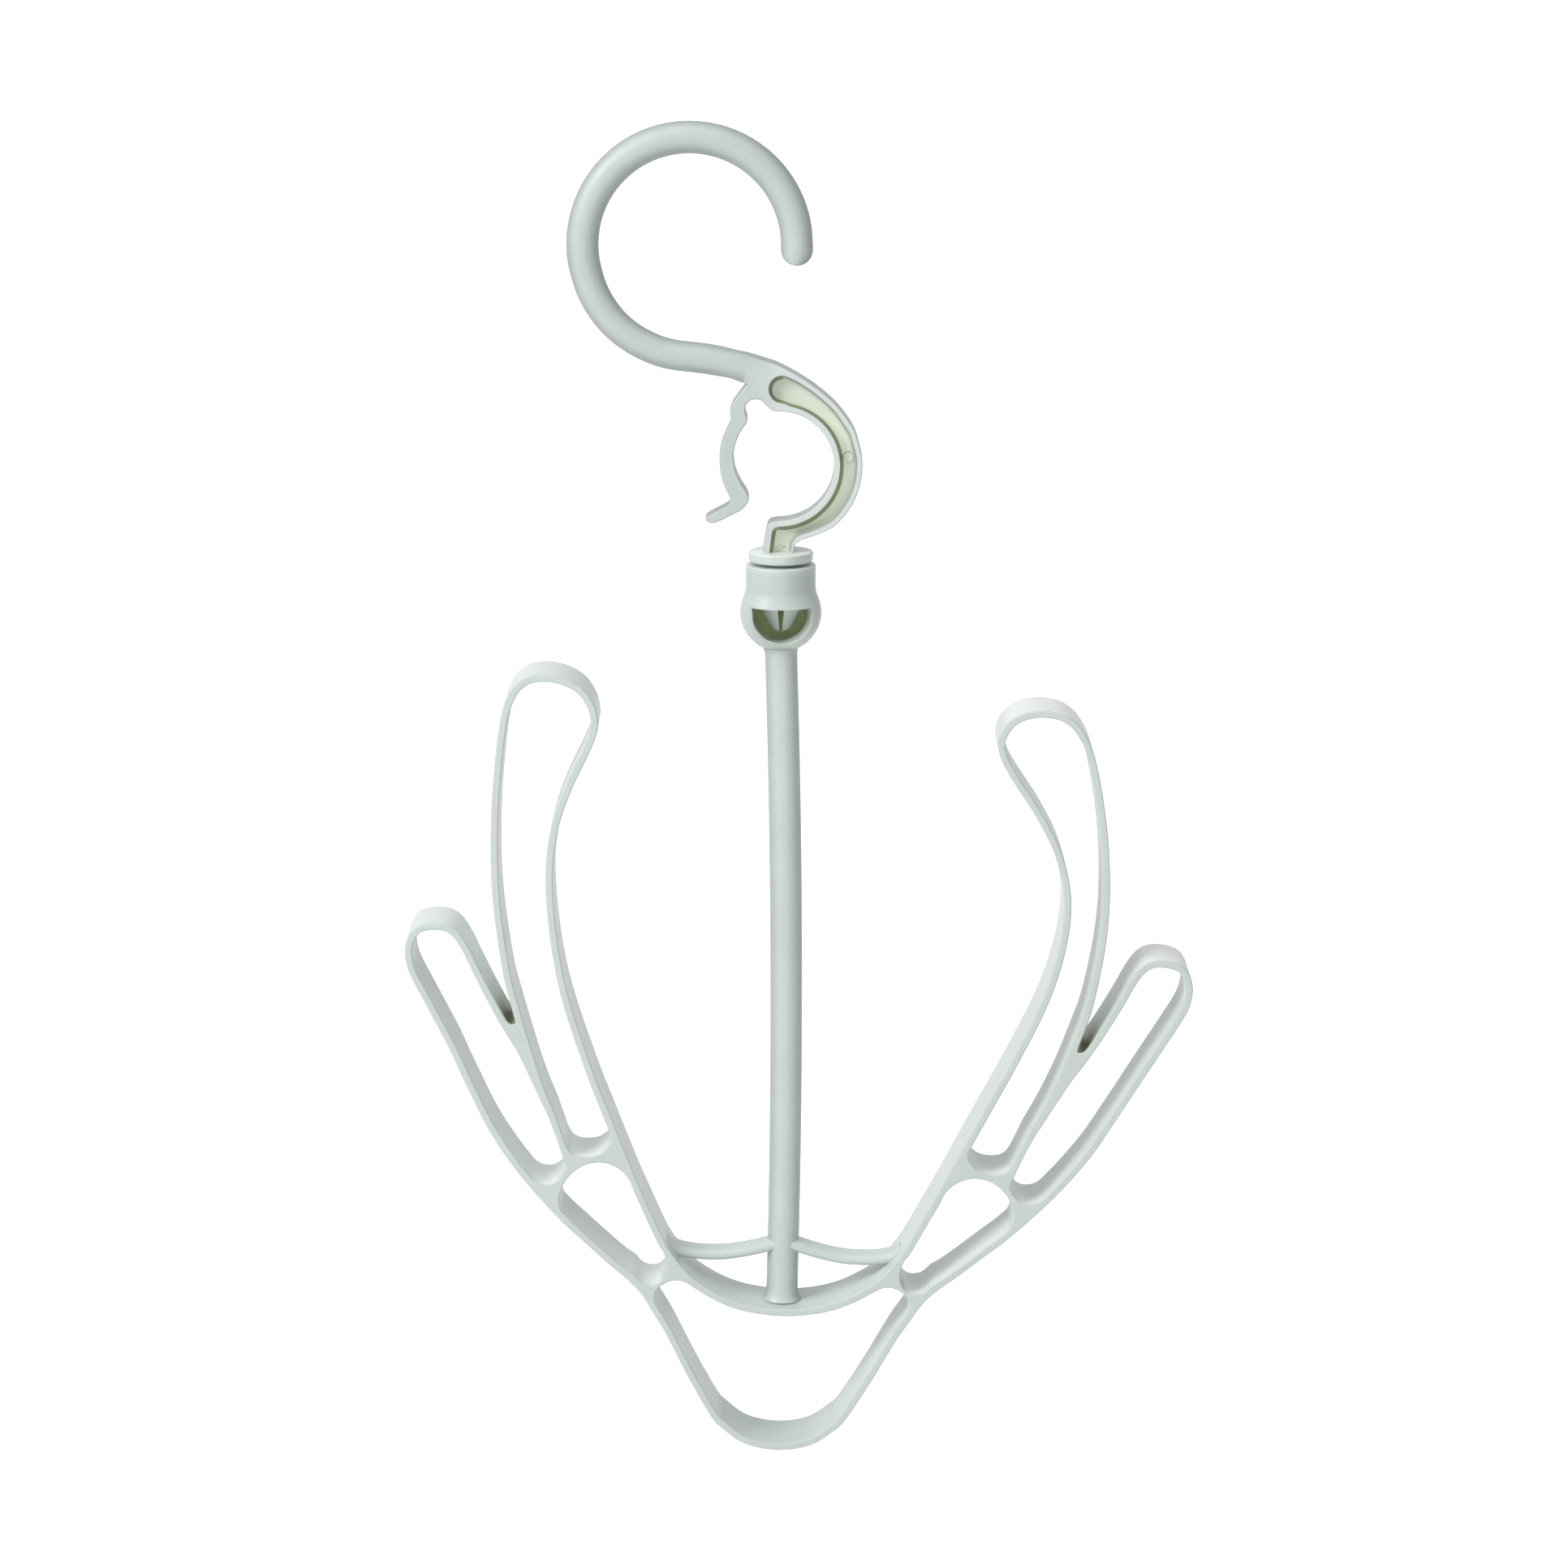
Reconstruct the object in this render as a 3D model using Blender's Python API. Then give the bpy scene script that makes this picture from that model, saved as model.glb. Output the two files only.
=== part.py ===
"""Shoe drying hanger: a pole hook with a snap clip, a swivel, a round stem and a
lattice frame with two long and two short shoe fingers.

Metres, +Z up, +Y away from the viewer. The origin is the top of the clip's round
bore, halfway through its depth: the place where a pole carries the hanger. The
swivel turns about the vertical line through the origin.
"""
import math

import bmesh
import bpy

# Clearances
GAP = 0.0003
OVERRUN = 0.002

# Big hook: a round bar bent to a circle, then led into the clip's flat channel
BAR_RADIUS = 0.00375
HOOK_RADIUS = 0.02475
HOOK_OFFSET = -0.0210
HOOK_RISE = 0.0383
TIP_DROP = 0.0011
HOOK_TIP_TURN = math.radians(0)
HOOK_END_TURN = math.radians(190)
# The bar below the circle, as shares of the hook radius from the hook's centre
BAR_LEAD_SHARES = [(-0.922, -0.400), (-0.825, -0.587), (-0.688, -0.755), (-0.514, -0.889),
                   (-0.319, -0.985), (-0.155, -1.030), (-0.003, -1.049), (0.149, -1.068),
                   (0.301, -1.095), (0.430, -1.124), (0.520, -1.155)]
BAR_SIDES = 14
BAR_STEPS = 14
TIP_STEPS = 4
TIP_FROM_STEP = 0.4
ROUND = 2
BAR_END_POWER = 5

# Snap clip: a C-shaped channel round the pole and a sprung arm that closes it
BORE_RADIUS = 0.0128
BORE_OFFSET = -0.0004
RING_WALL = 0.0060
RING_SHIFT = 0.0006
CLIP_DEPTH = 0.0070
CLIP_FLOOR = 0.0016
INNER_RIM = 0.0015
OUTER_RIM = 0.0014
RING_TOP_TURN = math.radians(8)
RING_LOW_TURN = math.radians(-50)
BORE_TOP_TURN = math.radians(98)
NECK_LEFT = -0.0043
NECK_RIGHT = 0.0031
NECK_CORNER = -0.0030
NECK_CORNER_DROP = 0.0260
NECK_TOP_DROP = 0.0308
POCKET_END_RADIUS = 0.0033
POCKET_END_X = 0.0005
POCKET_END_RISE = 0.0052
POCKET_END_FROM_TURN = math.radians(275)
POCKET_END_TO_TURN = math.radians(80)
POCKET_TOP_TURN = math.radians(80)
POCKET_CLEAR_SHARE = 1.2
# Upper edge of the channel, as shares of the ring's outer radius from the ring's centre
CHANNEL_TOP_SHARES = [(-0.559, 1.412), (-0.431, 1.378), (-0.234, 1.319), (-0.059, 1.261), (0.122, 1.170),
                      (0.372, 1.016), (0.574, 0.856), (0.734, 0.691), (0.904, 0.436)]
# Lower edge of the ring between the round stretch and the neck
RING_FOOT_SHARES = [(0.473, -0.848), (0.223, -0.937)]
# Lower edge of the root, from the bar's underside to the seat of the arm's knuckle
ROOT_UNDER_SHARES = [(-0.56, 1.050), (-0.48, 1.020)]
# Right wall of the relief notch beside the arm's root, as shares of the bore's radius
NOTCH_WALL_SHARES = [(-0.336, 1.203), (-0.262, 1.137), (-0.195, 1.074), (-0.148, 1.008)]

KNUCKLE_X = -0.0071
KNUCKLE_RISE = 0.0039
KNUCKLE_RADIUS = 0.0016
KNUCKLE_FROM_TURN = math.radians(-62)
KNUCKLE_TO_TURN = math.radians(128)
ARM_SWING = math.radians(40)
SEAT_FROM_TURN = math.radians(-38)
SEAT_SPARE_TURN = math.radians(6)
SEAT_TO_TURN = KNUCKLE_TO_TURN - ARM_SWING - SEAT_SPARE_TURN
RING_STEPS = 12
BORE_STEPS = 20
POCKET_BORE_STEPS = 18
POCKET_END_STEPS = 10
SEAT_STEPS = 8
KNUCKLE_STEPS = 10
# The sprung arm's outline, as shares of the bore radius from the bore's centre
ARM_OUTER_SHARES = [(-0.757, 1.297), (-0.858, 1.175), (-0.898, 1.026), (-0.869, 0.824),
                    (-0.968, 0.603), (-1.050, 0.349), (-1.079, 0.180), (-1.079, 0.007), (-1.040, -0.247),
                    (-0.954, -0.468), (-0.853, -0.660), (-1.074, -0.795), (-1.314, -0.925)]
ARM_INNER_SHARES = [(-1.360, -0.975), (-1.300, -1.042), (-1.170, -1.059), (-0.910, -0.944),
                    (-0.728, -0.838), (-0.603, -0.732), (-0.550, -0.608), (-0.574, -0.511),
                    (-0.670, -0.358), (-0.757, -0.189), (-0.819, 0.007), (-0.838, 0.180), (-0.819, 0.315),
                    (-0.747, 0.522), (-0.651, 0.690), (-0.564, 0.805), (-0.603, 0.901), (-0.622, 0.988),
                    (-0.608, 1.089)]

# Swivel: flange, pin and split snap head on the hook, a domed socket on the stem
FLANGE_RADIUS = 0.0076
FLANGE_TOP_DROP = 0.0333
FLANGE_HEIGHT = 0.0024
SWIVEL_GAP = 0.0007
SOCKET_RADIUS = 0.0084
BALL_RADIUS = 0.0096
BALL_DROP = 0.0113
LEDGE_HEIGHT = 0.0059
PIN_RADIUS = 0.0039
HEAD_RADIUS = 0.0047
HEAD_LAND = 0.0045
HEAD_TAPER = 0.0049
HEAD_TIP_RADIUS = 0.0020
HEAD_TIP_ROUND = 0.0007
SPLIT_WIDTH = 0.0012
SPLIT_LENGTH = 0.0108
CAVITY_RADIUS = 0.0070
CAVITY_NECK_RADIUS = 0.0052
WINDOW_WIDTH = 0.0129
WINDOW_RISE = 0.0019
TURN_SIDES = 32
BALL_STEPS = 12
CAVITY_STEPS = 6
WINDOW_STEPS = 16

# Stem: a round rod with the slight bow that it has taken
STEM_RADIUS = 0.0038
STEM_REACH = 0.2175
STEM_BOW = 0.0012
STEM_SHIFT = 0.0002
STEM_SIDES = 16
STEM_STEPS = 10

# Frame: one lattice of flat strip, as deep as FRAME_DEPTH along Y
HALF_SPAN = 0.0943
RISE = 0.1526
FRAME_DEPTH = 0.0164
STRIP = 0.0018
BRACE_DEPTH = 0.0066
BRACE_HEIGHT = 0.0031
BRACE_SIDES = 10
BRACE_POWER = 3
# The set that the soft frame has taken: it leans to the right, the braced centre less
# than the arms, the long fingers come back and turn a little at their tips, and their
# inner strands sway
LEAN = math.radians(3.0)
CENTRE_LEAN = math.radians(2.0)
LEAN_FULL_SHARE = 0.40
TIP_RETURN = 0.0047
TIP_TURN = 0.0013
TIP_FROM_SHARE = 0.41
STRAND_SWAY = 0.0019
SWAY_FROM_SHARE = 0.36
SWAY_TO_SHARE = 1.0

# Middle lines of the strip, right half, as shares of the half span and the rise,
# from the foot of the stem. Bow, inner strand, then long finger and its outer strand:
BOW_SHARES = [(0.0, -0.004), (0.036, -0.003), (0.083, 0.001), (0.123, 0.007), (0.164, 0.017),
              (0.205, 0.031), (0.244, 0.048), (0.276, 0.070), (0.302, 0.092)]
STRAND_SHARES = [(0.324, 0.117), (0.362, 0.165), (0.388, 0.198), (0.465, 0.303), (0.513, 0.369),
                 (0.562, 0.441), (0.602, 0.507), (0.630, 0.572), (0.647, 0.639), (0.649, 0.701),
                 (0.629, 0.765), (0.589, 0.824), (0.533, 0.886), (0.511, 0.917)]
LONG_FINGER_SHARES = [(0.508, 0.938), (0.515, 0.954), (0.536, 0.973), (0.568, 0.985), (0.610, 0.991),
                      (0.658, 0.988), (0.690, 0.976), (0.709, 0.960), (0.725, 0.938), (0.738, 0.904),
                      (0.750, 0.857), (0.762, 0.790), (0.767, 0.712), (0.763, 0.645), (0.750, 0.580),
                      (0.731, 0.515), (0.708, 0.467), (0.691, 0.434), (0.674, 0.403), (0.653, 0.368),
                      (0.631, 0.335), (0.605, 0.301)]
# Lower loop, outer strand, short finger and its inner strand:
LOOP_SHARES = [(0.0, -0.228), (0.035, -0.226), (0.071, -0.221), (0.102, -0.212), (0.135, -0.196),
               (0.164, -0.178), (0.226, -0.113), (0.286, -0.043), (0.318, -0.011), (0.350, 0.020),
               (0.383, 0.042), (0.446, 0.074)]
SHORT_FINGER_SHARES = [(0.508, 0.107), (0.570, 0.141), (0.671, 0.207), (0.751, 0.273), (0.811, 0.339),
                       (0.868, 0.406), (0.926, 0.470), (0.970, 0.520), (0.982, 0.548), (0.979, 0.570),
                       (0.965, 0.586), (0.945, 0.593), (0.917, 0.596), (0.887, 0.594), (0.863, 0.584),
                       (0.839, 0.562), (0.814, 0.531), (0.786, 0.498), (0.758, 0.467), (0.726, 0.434),
                       (0.692, 0.402), (0.664, 0.370), (0.635, 0.336), (0.608, 0.304), (0.584, 0.270),
                       (0.565, 0.239)]
# Rounded ends of the openings, as shares in the same way
LONG_SLOT_END_SHARES = [(0.449, 0.268), (0.468, 0.251), (0.488, 0.242), (0.512, 0.239), (0.536, 0.240),
                        (0.555, 0.246), (0.568, 0.259)]
SHORT_SLOT_END_SHARES = [(0.562, 0.218), (0.580, 0.202), (0.597, 0.194), (0.615, 0.192), (0.632, 0.194),
                         (0.647, 0.199)]
TEARDROP_TOP_SHARES = [(0.572, 0.156), (0.578, 0.166), (0.575, 0.179), (0.564, 0.197), (0.542, 0.214),
                       (0.512, 0.226), (0.480, 0.230), (0.449, 0.227), (0.419, 0.216), (0.396, 0.199)]
TEARDROP_LOW_SHARES = [(0.385, 0.055), (0.363, 0.040), (0.341, 0.035), (0.320, 0.037), (0.306, 0.046),
                       (0.299, 0.058), (0.299, 0.072), (0.308, 0.092)]
ARCH_SHARES = [(0.326, 0.006), (0.326, 0.018), (0.317, 0.029), (0.299, 0.038), (0.276, 0.043),
               (0.251, 0.041), (0.229, 0.033)]
BRACE_SHARES = [(0.297, 0.089), (0.268, 0.081), (0.223, 0.0765), (0.180, 0.076), (0.140, 0.078),
                (0.099, 0.083), (0.058, 0.0895), (0.010, 0.099)]
# Heights at which the strip is divided into nodes
STRAND_CUT_SHARE = 0.142
OUTER_CUT_SHARE = 0.094
SLOT_LOW_SHARE = 0.272
SHORT_SLOT_LOW_SHARE = 0.212
CURVE_STEPS = 2

PLASTIC_COLOUR = (0.60, 0.67, 0.60, 1.0)
PLASTIC_ROUGHNESS = 0.42
CREASE = math.radians(35)

BORE_CENTRE = (BORE_OFFSET, -BORE_RADIUS)
KNUCKLE_CENTRE = (KNUCKLE_X, KNUCKLE_RISE)
POCKET_END_CENTRE = (POCKET_END_X, POCKET_END_RISE)
RING_CENTRE = (BORE_OFFSET + RING_SHIFT, -BORE_RADIUS)
RING_RADIUS = BORE_RADIUS + RING_WALL
FRAME_FOOT = (STEM_SHIFT, -STEM_REACH)
FLANGE_LOW = -FLANGE_TOP_DROP - FLANGE_HEIGHT
SOCKET_TOP = FLANGE_LOW - SWIVEL_GAP
BALL_CENTRE_Z = SOCKET_TOP - BALL_DROP
LEDGE_Z = SOCKET_TOP - LEDGE_HEIGHT


def clear_scene():
    for item in list(bpy.data.objects):
        bpy.data.objects.remove(item, do_unlink=True)


def plastic(name):
    """A satin pale sage plastic, one material for each node."""
    material = bpy.data.materials.new(name)
    material.use_nodes = True
    shader = material.node_tree.nodes["Principled BSDF"]
    shader.inputs["Base Color"].default_value = PLASTIC_COLOUR
    shader.inputs["Roughness"].default_value = PLASTIC_ROUGHNESS
    shader.inputs["Metallic"].default_value = 0.0
    return material


# Outlines: lists of (x, z) points

def curve(points, steps=CURVE_STEPS):
    """A smooth line through the points."""
    line = []
    for i in range(len(points) - 1):
        a = points[max(i - 1, 0)]
        b = points[i]
        c = points[i + 1]
        d = points[min(i + 2, len(points) - 1)]
        for k in range(steps):
            t = k / steps
            line.append(tuple(0.5 * (2 * b[j] + (c[j] - a[j]) * t
                                     + (2 * a[j] - 5 * b[j] + 4 * c[j] - d[j]) * t ** 2
                                     + (3 * b[j] - a[j] - 3 * c[j] + d[j]) * t ** 3)
                              for j in range(2)))
    line.append(tuple(points[-1]))
    return line


def arc(centre, radius, start, end, steps):
    turns = [start + (end - start) * k / steps for k in range(steps + 1)]
    return [(centre[0] + radius * math.cos(t), centre[1] + radius * math.sin(t)) for t in turns]


def scaled(shares, centre, across, up):
    return [(centre[0] + across * p[0], centre[1] + up * p[1]) for p in shares]


def aside(line, distance):
    """The line moved to its left by a distance."""
    moved = []
    for i, point in enumerate(line):
        a = line[max(i - 1, 0)]
        b = line[min(i + 1, len(line) - 1)]
        length = math.hypot(b[0] - a[0], b[1] - a[1])
        moved.append((point[0] - distance * (b[1] - a[1]) / length,
                      point[1] + distance * (b[0] - a[0]) / length))
    return moved


def level_cut(a, b, height):
    t = (height - a[1]) / (b[1] - a[1])
    return (a[0] + t * (b[0] - a[0]), height)


def from_level(line, height):
    """The part of a line after the first place where it reaches a height."""
    for i in range(len(line) - 1):
        if (line[i][1] - height) * (line[i + 1][1] - height) <= 0 and line[i][1] != line[i + 1][1]:
            return [level_cut(line[i], line[i + 1], height)] + line[i + 1:]
    return line


def crossing(a, b, c, d):
    """Where the segments a-b and c-d cross, or None."""
    det = (b[0] - a[0]) * (d[1] - c[1]) - (b[1] - a[1]) * (d[0] - c[0])
    if det == 0:
        return None
    t = ((c[0] - a[0]) * (d[1] - c[1]) - (c[1] - a[1]) * (d[0] - c[0])) / det
    s = ((c[0] - a[0]) * (b[1] - a[1]) - (c[1] - a[1]) * (b[0] - a[0])) / det
    if 0 <= t <= 1 and 0 <= s <= 1:
        return (a[0] + t * (b[0] - a[0]), a[1] + t * (b[1] - a[1]))
    return None


def joined(first, second):
    """Two lines made one at the first place where they cross."""
    for i in range(len(first) - 1):
        for k in range(len(second) - 1, 0, -1):
            place = crossing(first[i], first[i + 1], second[k - 1], second[k])
            if place:
                return first[:i + 1] + [place] + second[k:]
    return first + second


def settled(line, side):
    """Right-half frame points, mirrored for the left side, with the set that the frame has taken."""
    placed = []
    for x, h in line:
        up = h / RISE
        lean = CENTRE_LEAN + (LEAN - CENTRE_LEAN) * min(max(up, 0) / LEAN_FULL_SHARE, 1)
        tip = (max(0, up - TIP_FROM_SHARE) / (1 - TIP_FROM_SHARE)) ** 2
        across = side * x * math.cos(lean) + h * math.sin(lean) - TIP_RETURN * tip
        rise = h * math.cos(lean) - side * (x * math.sin(lean) + TIP_TURN * tip)
        placed.append((FRAME_FOOT[0] + across, FRAME_FOOT[1] + rise))
    return placed if side > 0 else placed[::-1]


def swayed(line, side):
    """The inner strand's points moved to the right between its ends, before they are settled."""
    moved = []
    for x, h in line:
        along = (h / RISE - SWAY_FROM_SHARE) / (SWAY_TO_SHARE - SWAY_FROM_SHARE)
        if 0 < along < 1:
            x += side * STRAND_SWAY * math.sin(math.pi * along) ** 2
        moved.append((x, h))
    return moved


# Solids

def add_object(name, mesh_data):
    mesh = bpy.data.meshes.new(name)
    mesh_data.normal_update()
    bmesh.ops.recalc_face_normals(mesh_data, faces=mesh_data.faces)
    mesh_data.to_mesh(mesh)
    mesh_data.free()
    made = bpy.data.objects.new(name, mesh)
    bpy.context.scene.collection.objects.link(made)
    return made


def prism(name, outline, low, high):
    """An (x, z) outline carried along Y from low to high."""
    data = bmesh.new()
    front = [data.verts.new((x, low, z)) for x, z in outline]
    back = [data.verts.new((x, high, z)) for x, z in outline]
    count = len(outline)
    data.faces.new(front)
    data.faces.new(back[::-1])
    for i in range(count):
        j = (i + 1) % count
        data.faces.new((front[i], back[i], back[j], front[j]))
    return add_object(name, data)


def turned(name, profile, sides):
    """A (radius, z) profile turned about the swivel axis, with no corner in the planes of X
    and Y. The profile starts and ends on the axis."""
    data = bmesh.new()
    rings = []
    for radius, z in profile:
        if radius == 0:
            rings.append([data.verts.new((0, 0, z))])
            continue
        turns = [2 * math.pi * (k + 0.5) / sides for k in range(sides)]
        rings.append([data.verts.new((radius * math.cos(t), radius * math.sin(t), z)) for t in turns])
    link_rings(data, rings, sides)
    return add_object(name, data)


def link_rings(data, rings, sides):
    for a, b in zip(rings, rings[1:]):
        for k in range(sides):
            n = (k + 1) % sides
            if len(a) == 1:
                data.faces.new((a[0], b[k], b[n]))
            elif len(b) == 1:
                data.faces.new((a[k], b[0], a[n]))
            else:
                data.faces.new((a[k], b[k], b[n], a[n]))


def section(half_up, half_deep, power, sides):
    """A round section for a power of 2, squarer for a larger one."""
    points = []
    for k in range(sides):
        c = math.cos(2 * math.pi * k / sides)
        s = math.sin(2 * math.pi * k / sides)
        points.append((half_up * math.copysign(abs(c) ** (2 / power), c),
                       half_deep * math.copysign(abs(s) ** (2 / power), s)))
    return points


def swept(name, line, sections):
    """Sections carried along an (x, z) line; a section is a list of (side, depth) points."""
    data = bmesh.new()
    rings = []
    for i, (point, shape) in enumerate(zip(line, sections)):
        a = line[max(i - 1, 0)]
        b = line[min(i + 1, len(line) - 1)]
        length = math.hypot(b[0] - a[0], b[1] - a[1])
        side = (-(b[1] - a[1]) / length, (b[0] - a[0]) / length)
        rings.append([data.verts.new((point[0] + u * side[0], v, point[1] + u * side[1]))
                      for u, v in shape])
    link_rings(data, rings, len(sections[0]))
    data.faces.new(rings[0])
    data.faces.new(rings[-1][::-1])
    return add_object(name, data)


def combine(target, tool, operation):
    """Join a tool to the target, or cut it out, and use it up."""
    modifier = target.modifiers.new(operation.lower(), "BOOLEAN")
    modifier.operation = operation
    modifier.solver = "EXACT"
    modifier.object = tool
    bpy.context.view_layer.update()
    graph = bpy.context.evaluated_depsgraph_get()
    result = bpy.data.meshes.new_from_object(target.evaluated_get(graph))
    target.modifiers.clear()
    old = target.data
    target.data = result
    bpy.data.meshes.remove(old)
    bpy.data.objects.remove(tool, do_unlink=True)
    return target


def finished(piece):
    piece.data.name = piece.name
    piece.data.materials.clear()
    piece.data.materials.append(plastic(piece.name))
    piece.data.shade_smooth()
    piece.data.set_sharp_from_angle(angle=CREASE)
    return piece


# Hook, clip channel and pivot pin, one moulding

def hook_bar():
    centre = (HOOK_OFFSET, HOOK_RISE)
    bar = curve(arc(centre, HOOK_RADIUS, HOOK_TIP_TURN, HOOK_END_TURN, BAR_STEPS)
                + scaled(BAR_LEAD_SHARES, centre, HOOK_RADIUS, HOOK_RADIUS))
    tip_z = bar[0][1] - TIP_DROP
    tip = []
    tip_sizes = []
    for k in range(TIP_STEPS):
        turn = math.pi / 2 * (k + TIP_FROM_STEP) / TIP_STEPS
        tip.append((bar[0][0], tip_z - BAR_RADIUS * math.cos(turn)))
        tip_sizes.append(BAR_RADIUS * math.sin(turn))
    line = tip + [(bar[0][0], tip_z)] + bar[1:]
    shapes = [section(size, size, ROUND, BAR_SIDES) for size in tip_sizes]
    shapes += [section(BAR_RADIUS, BAR_RADIUS, ROUND, BAR_SIDES)] * (1 + CURVE_STEPS * BAR_STEPS)
    changing = len(line) - len(shapes)
    for k in range(changing):
        t = ((k + 1) / changing) ** 2
        deep = BAR_RADIUS + t * (CLIP_DEPTH / 2 - BAR_RADIUS) - t * GAP / 4
        power = ROUND + t * (BAR_END_POWER - ROUND)
        shapes.append(section(BAR_RADIUS - t * OUTER_RIM / 4, deep, power, BAR_SIDES))
    return swept("hanging_hook", line, shapes)


def channel_outline():
    ring = arc(RING_CENTRE, RING_RADIUS, RING_TOP_TURN, RING_LOW_TURN, RING_STEPS)
    upper = curve(scaled(CHANNEL_TOP_SHARES, RING_CENTRE, RING_RADIUS, RING_RADIUS) + [ring[0]])
    ring += scaled(RING_FOOT_SHARES, RING_CENTRE, RING_RADIUS, RING_RADIUS)
    foot = -FLANGE_TOP_DROP - FLANGE_HEIGHT / 2
    neck = [(NECK_RIGHT, -NECK_TOP_DROP), (NECK_RIGHT, foot), (NECK_LEFT, foot),
            (NECK_LEFT, -FLANGE_TOP_DROP), (NECK_CORNER, -NECK_CORNER_DROP)]
    bore = arc(BORE_CENTRE, BORE_RADIUS, -math.pi / 2, BORE_TOP_TURN, BORE_STEPS)
    notch = scaled(NOTCH_WALL_SHARES, BORE_CENTRE, BORE_RADIUS, BORE_RADIUS)[::-1]
    seat = arc(KNUCKLE_CENTRE, KNUCKLE_RADIUS + GAP, SEAT_FROM_TURN, SEAT_TO_TURN, SEAT_STEPS)
    under = scaled(ROOT_UNDER_SHARES, RING_CENTRE, RING_RADIUS, RING_RADIUS)[::-1]
    return upper + ring[1:] + neck + bore + notch + seat + under


def pocket_outline():
    """The recess in each face of the channel, inside its rims."""
    inside = RING_RADIUS - OUTER_RIM
    ring = arc(RING_CENTRE, inside, RING_TOP_TURN, RING_LOW_TURN, RING_STEPS)
    ring += scaled(RING_FOOT_SHARES, RING_CENTRE, inside, inside)
    edge = aside(curve(scaled(CHANNEL_TOP_SHARES, RING_CENTRE, RING_RADIUS, RING_RADIUS)), -OUTER_RIM)
    upper = [p for p in edge if p[0] > POCKET_END_X + POCKET_END_RADIUS * POCKET_CLEAR_SHARE]
    neck = [(NECK_RIGHT - INNER_RIM, -NECK_TOP_DROP), (NECK_RIGHT - INNER_RIM, -FLANGE_TOP_DROP + GAP),
            (NECK_LEFT + INNER_RIM, -FLANGE_TOP_DROP + GAP),
            (NECK_CORNER + INNER_RIM / 2, -NECK_CORNER_DROP - INNER_RIM)]
    inner = arc(BORE_CENTRE, BORE_RADIUS + INNER_RIM, -math.pi / 2, POCKET_TOP_TURN, POCKET_BORE_STEPS)
    end = arc(POCKET_END_CENTRE, POCKET_END_RADIUS, POCKET_END_FROM_TURN, POCKET_END_TO_TURN,
              POCKET_END_STEPS)
    return end + upper + ring + neck + inner


def pivot():
    """Flange, pin and tapered snap head, turned about the swivel axis."""
    shoulder = LEDGE_Z - GAP
    land = shoulder - HEAD_LAND
    tip = land - HEAD_TAPER
    profile = [(0, -FLANGE_TOP_DROP), (FLANGE_RADIUS, -FLANGE_TOP_DROP), (FLANGE_RADIUS, FLANGE_LOW),
               (PIN_RADIUS, FLANGE_LOW), (PIN_RADIUS, shoulder), (HEAD_RADIUS, shoulder),
               (HEAD_RADIUS, land), (HEAD_TIP_RADIUS, tip),
               (HEAD_TIP_RADIUS - HEAD_TIP_ROUND, tip - HEAD_TIP_ROUND), (0, tip - HEAD_TIP_ROUND)]
    made = turned("pivot", profile, TURN_SIDES)
    low = tip - HEAD_TIP_ROUND - OVERRUN
    half = SPLIT_WIDTH / 2
    top = low + SPLIT_LENGTH + OVERRUN
    split = [(-half, low), (half, low), (half, top), (-half, top)]
    return combine(made, prism("split", split, -HEAD_RADIUS - OVERRUN, HEAD_RADIUS + OVERRUN), "DIFFERENCE")


def hanging_hook():
    hook = hook_bar()
    plate = prism("channel", channel_outline(), -CLIP_DEPTH / 2, CLIP_DEPTH / 2)
    for face in (-1, 1):
        near = face * CLIP_FLOOR / 2
        far = face * (CLIP_DEPTH / 2 + OVERRUN)
        pocket = prism("pocket", pocket_outline(), min(near, far), max(near, far))
        combine(plate, pocket, "DIFFERENCE")
    combine(hook, plate, "UNION")
    combine(hook, pivot(), "UNION")
    return finished(hook)


def clip_spring_arm():
    """The sprung arm; its round knuckle turns in the seat at the channel's root."""
    outer = curve(scaled(ARM_OUTER_SHARES, BORE_CENTRE, BORE_RADIUS, BORE_RADIUS))
    inner = curve(scaled(ARM_INNER_SHARES, BORE_CENTRE, BORE_RADIUS, BORE_RADIUS))
    knuckle = arc(KNUCKLE_CENTRE, KNUCKLE_RADIUS, KNUCKLE_FROM_TURN, KNUCKLE_TO_TURN, KNUCKLE_STEPS)
    arm = prism("clip_spring_arm", outer + inner + knuckle, -CLIP_DEPTH / 2, CLIP_DEPTH / 2)
    return finished(arm)


# Stem with the swivel's socket

def stem_line(steps):
    """The rod's middle line from the socket's ball to the frame's foot."""
    line = []
    for k in range(steps + 1):
        t = k / steps
        z = BALL_CENTRE_Z - BALL_RADIUS / 2 + t * (stem_foot_z() - BALL_CENTRE_Z + BALL_RADIUS / 2)
        line.append((STEM_SHIFT * t + 4 * STEM_BOW * t * (1 - t), z))
    return line


def bow_top(side):
    middle = curve(scaled(BOW_SHARES, (0, 0), HALF_SPAN, RISE))
    return settled(aside(middle, STRIP / 2), side)


def stem_foot_z():
    """The rod ends just above the highest point of the bow under it."""
    under = [p for side in (-1, 1) for p in bow_top(side)
             if abs(p[0] - STEM_SHIFT) < STEM_RADIUS + STRIP / 2]
    return max(p[1] for p in under) + GAP


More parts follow.
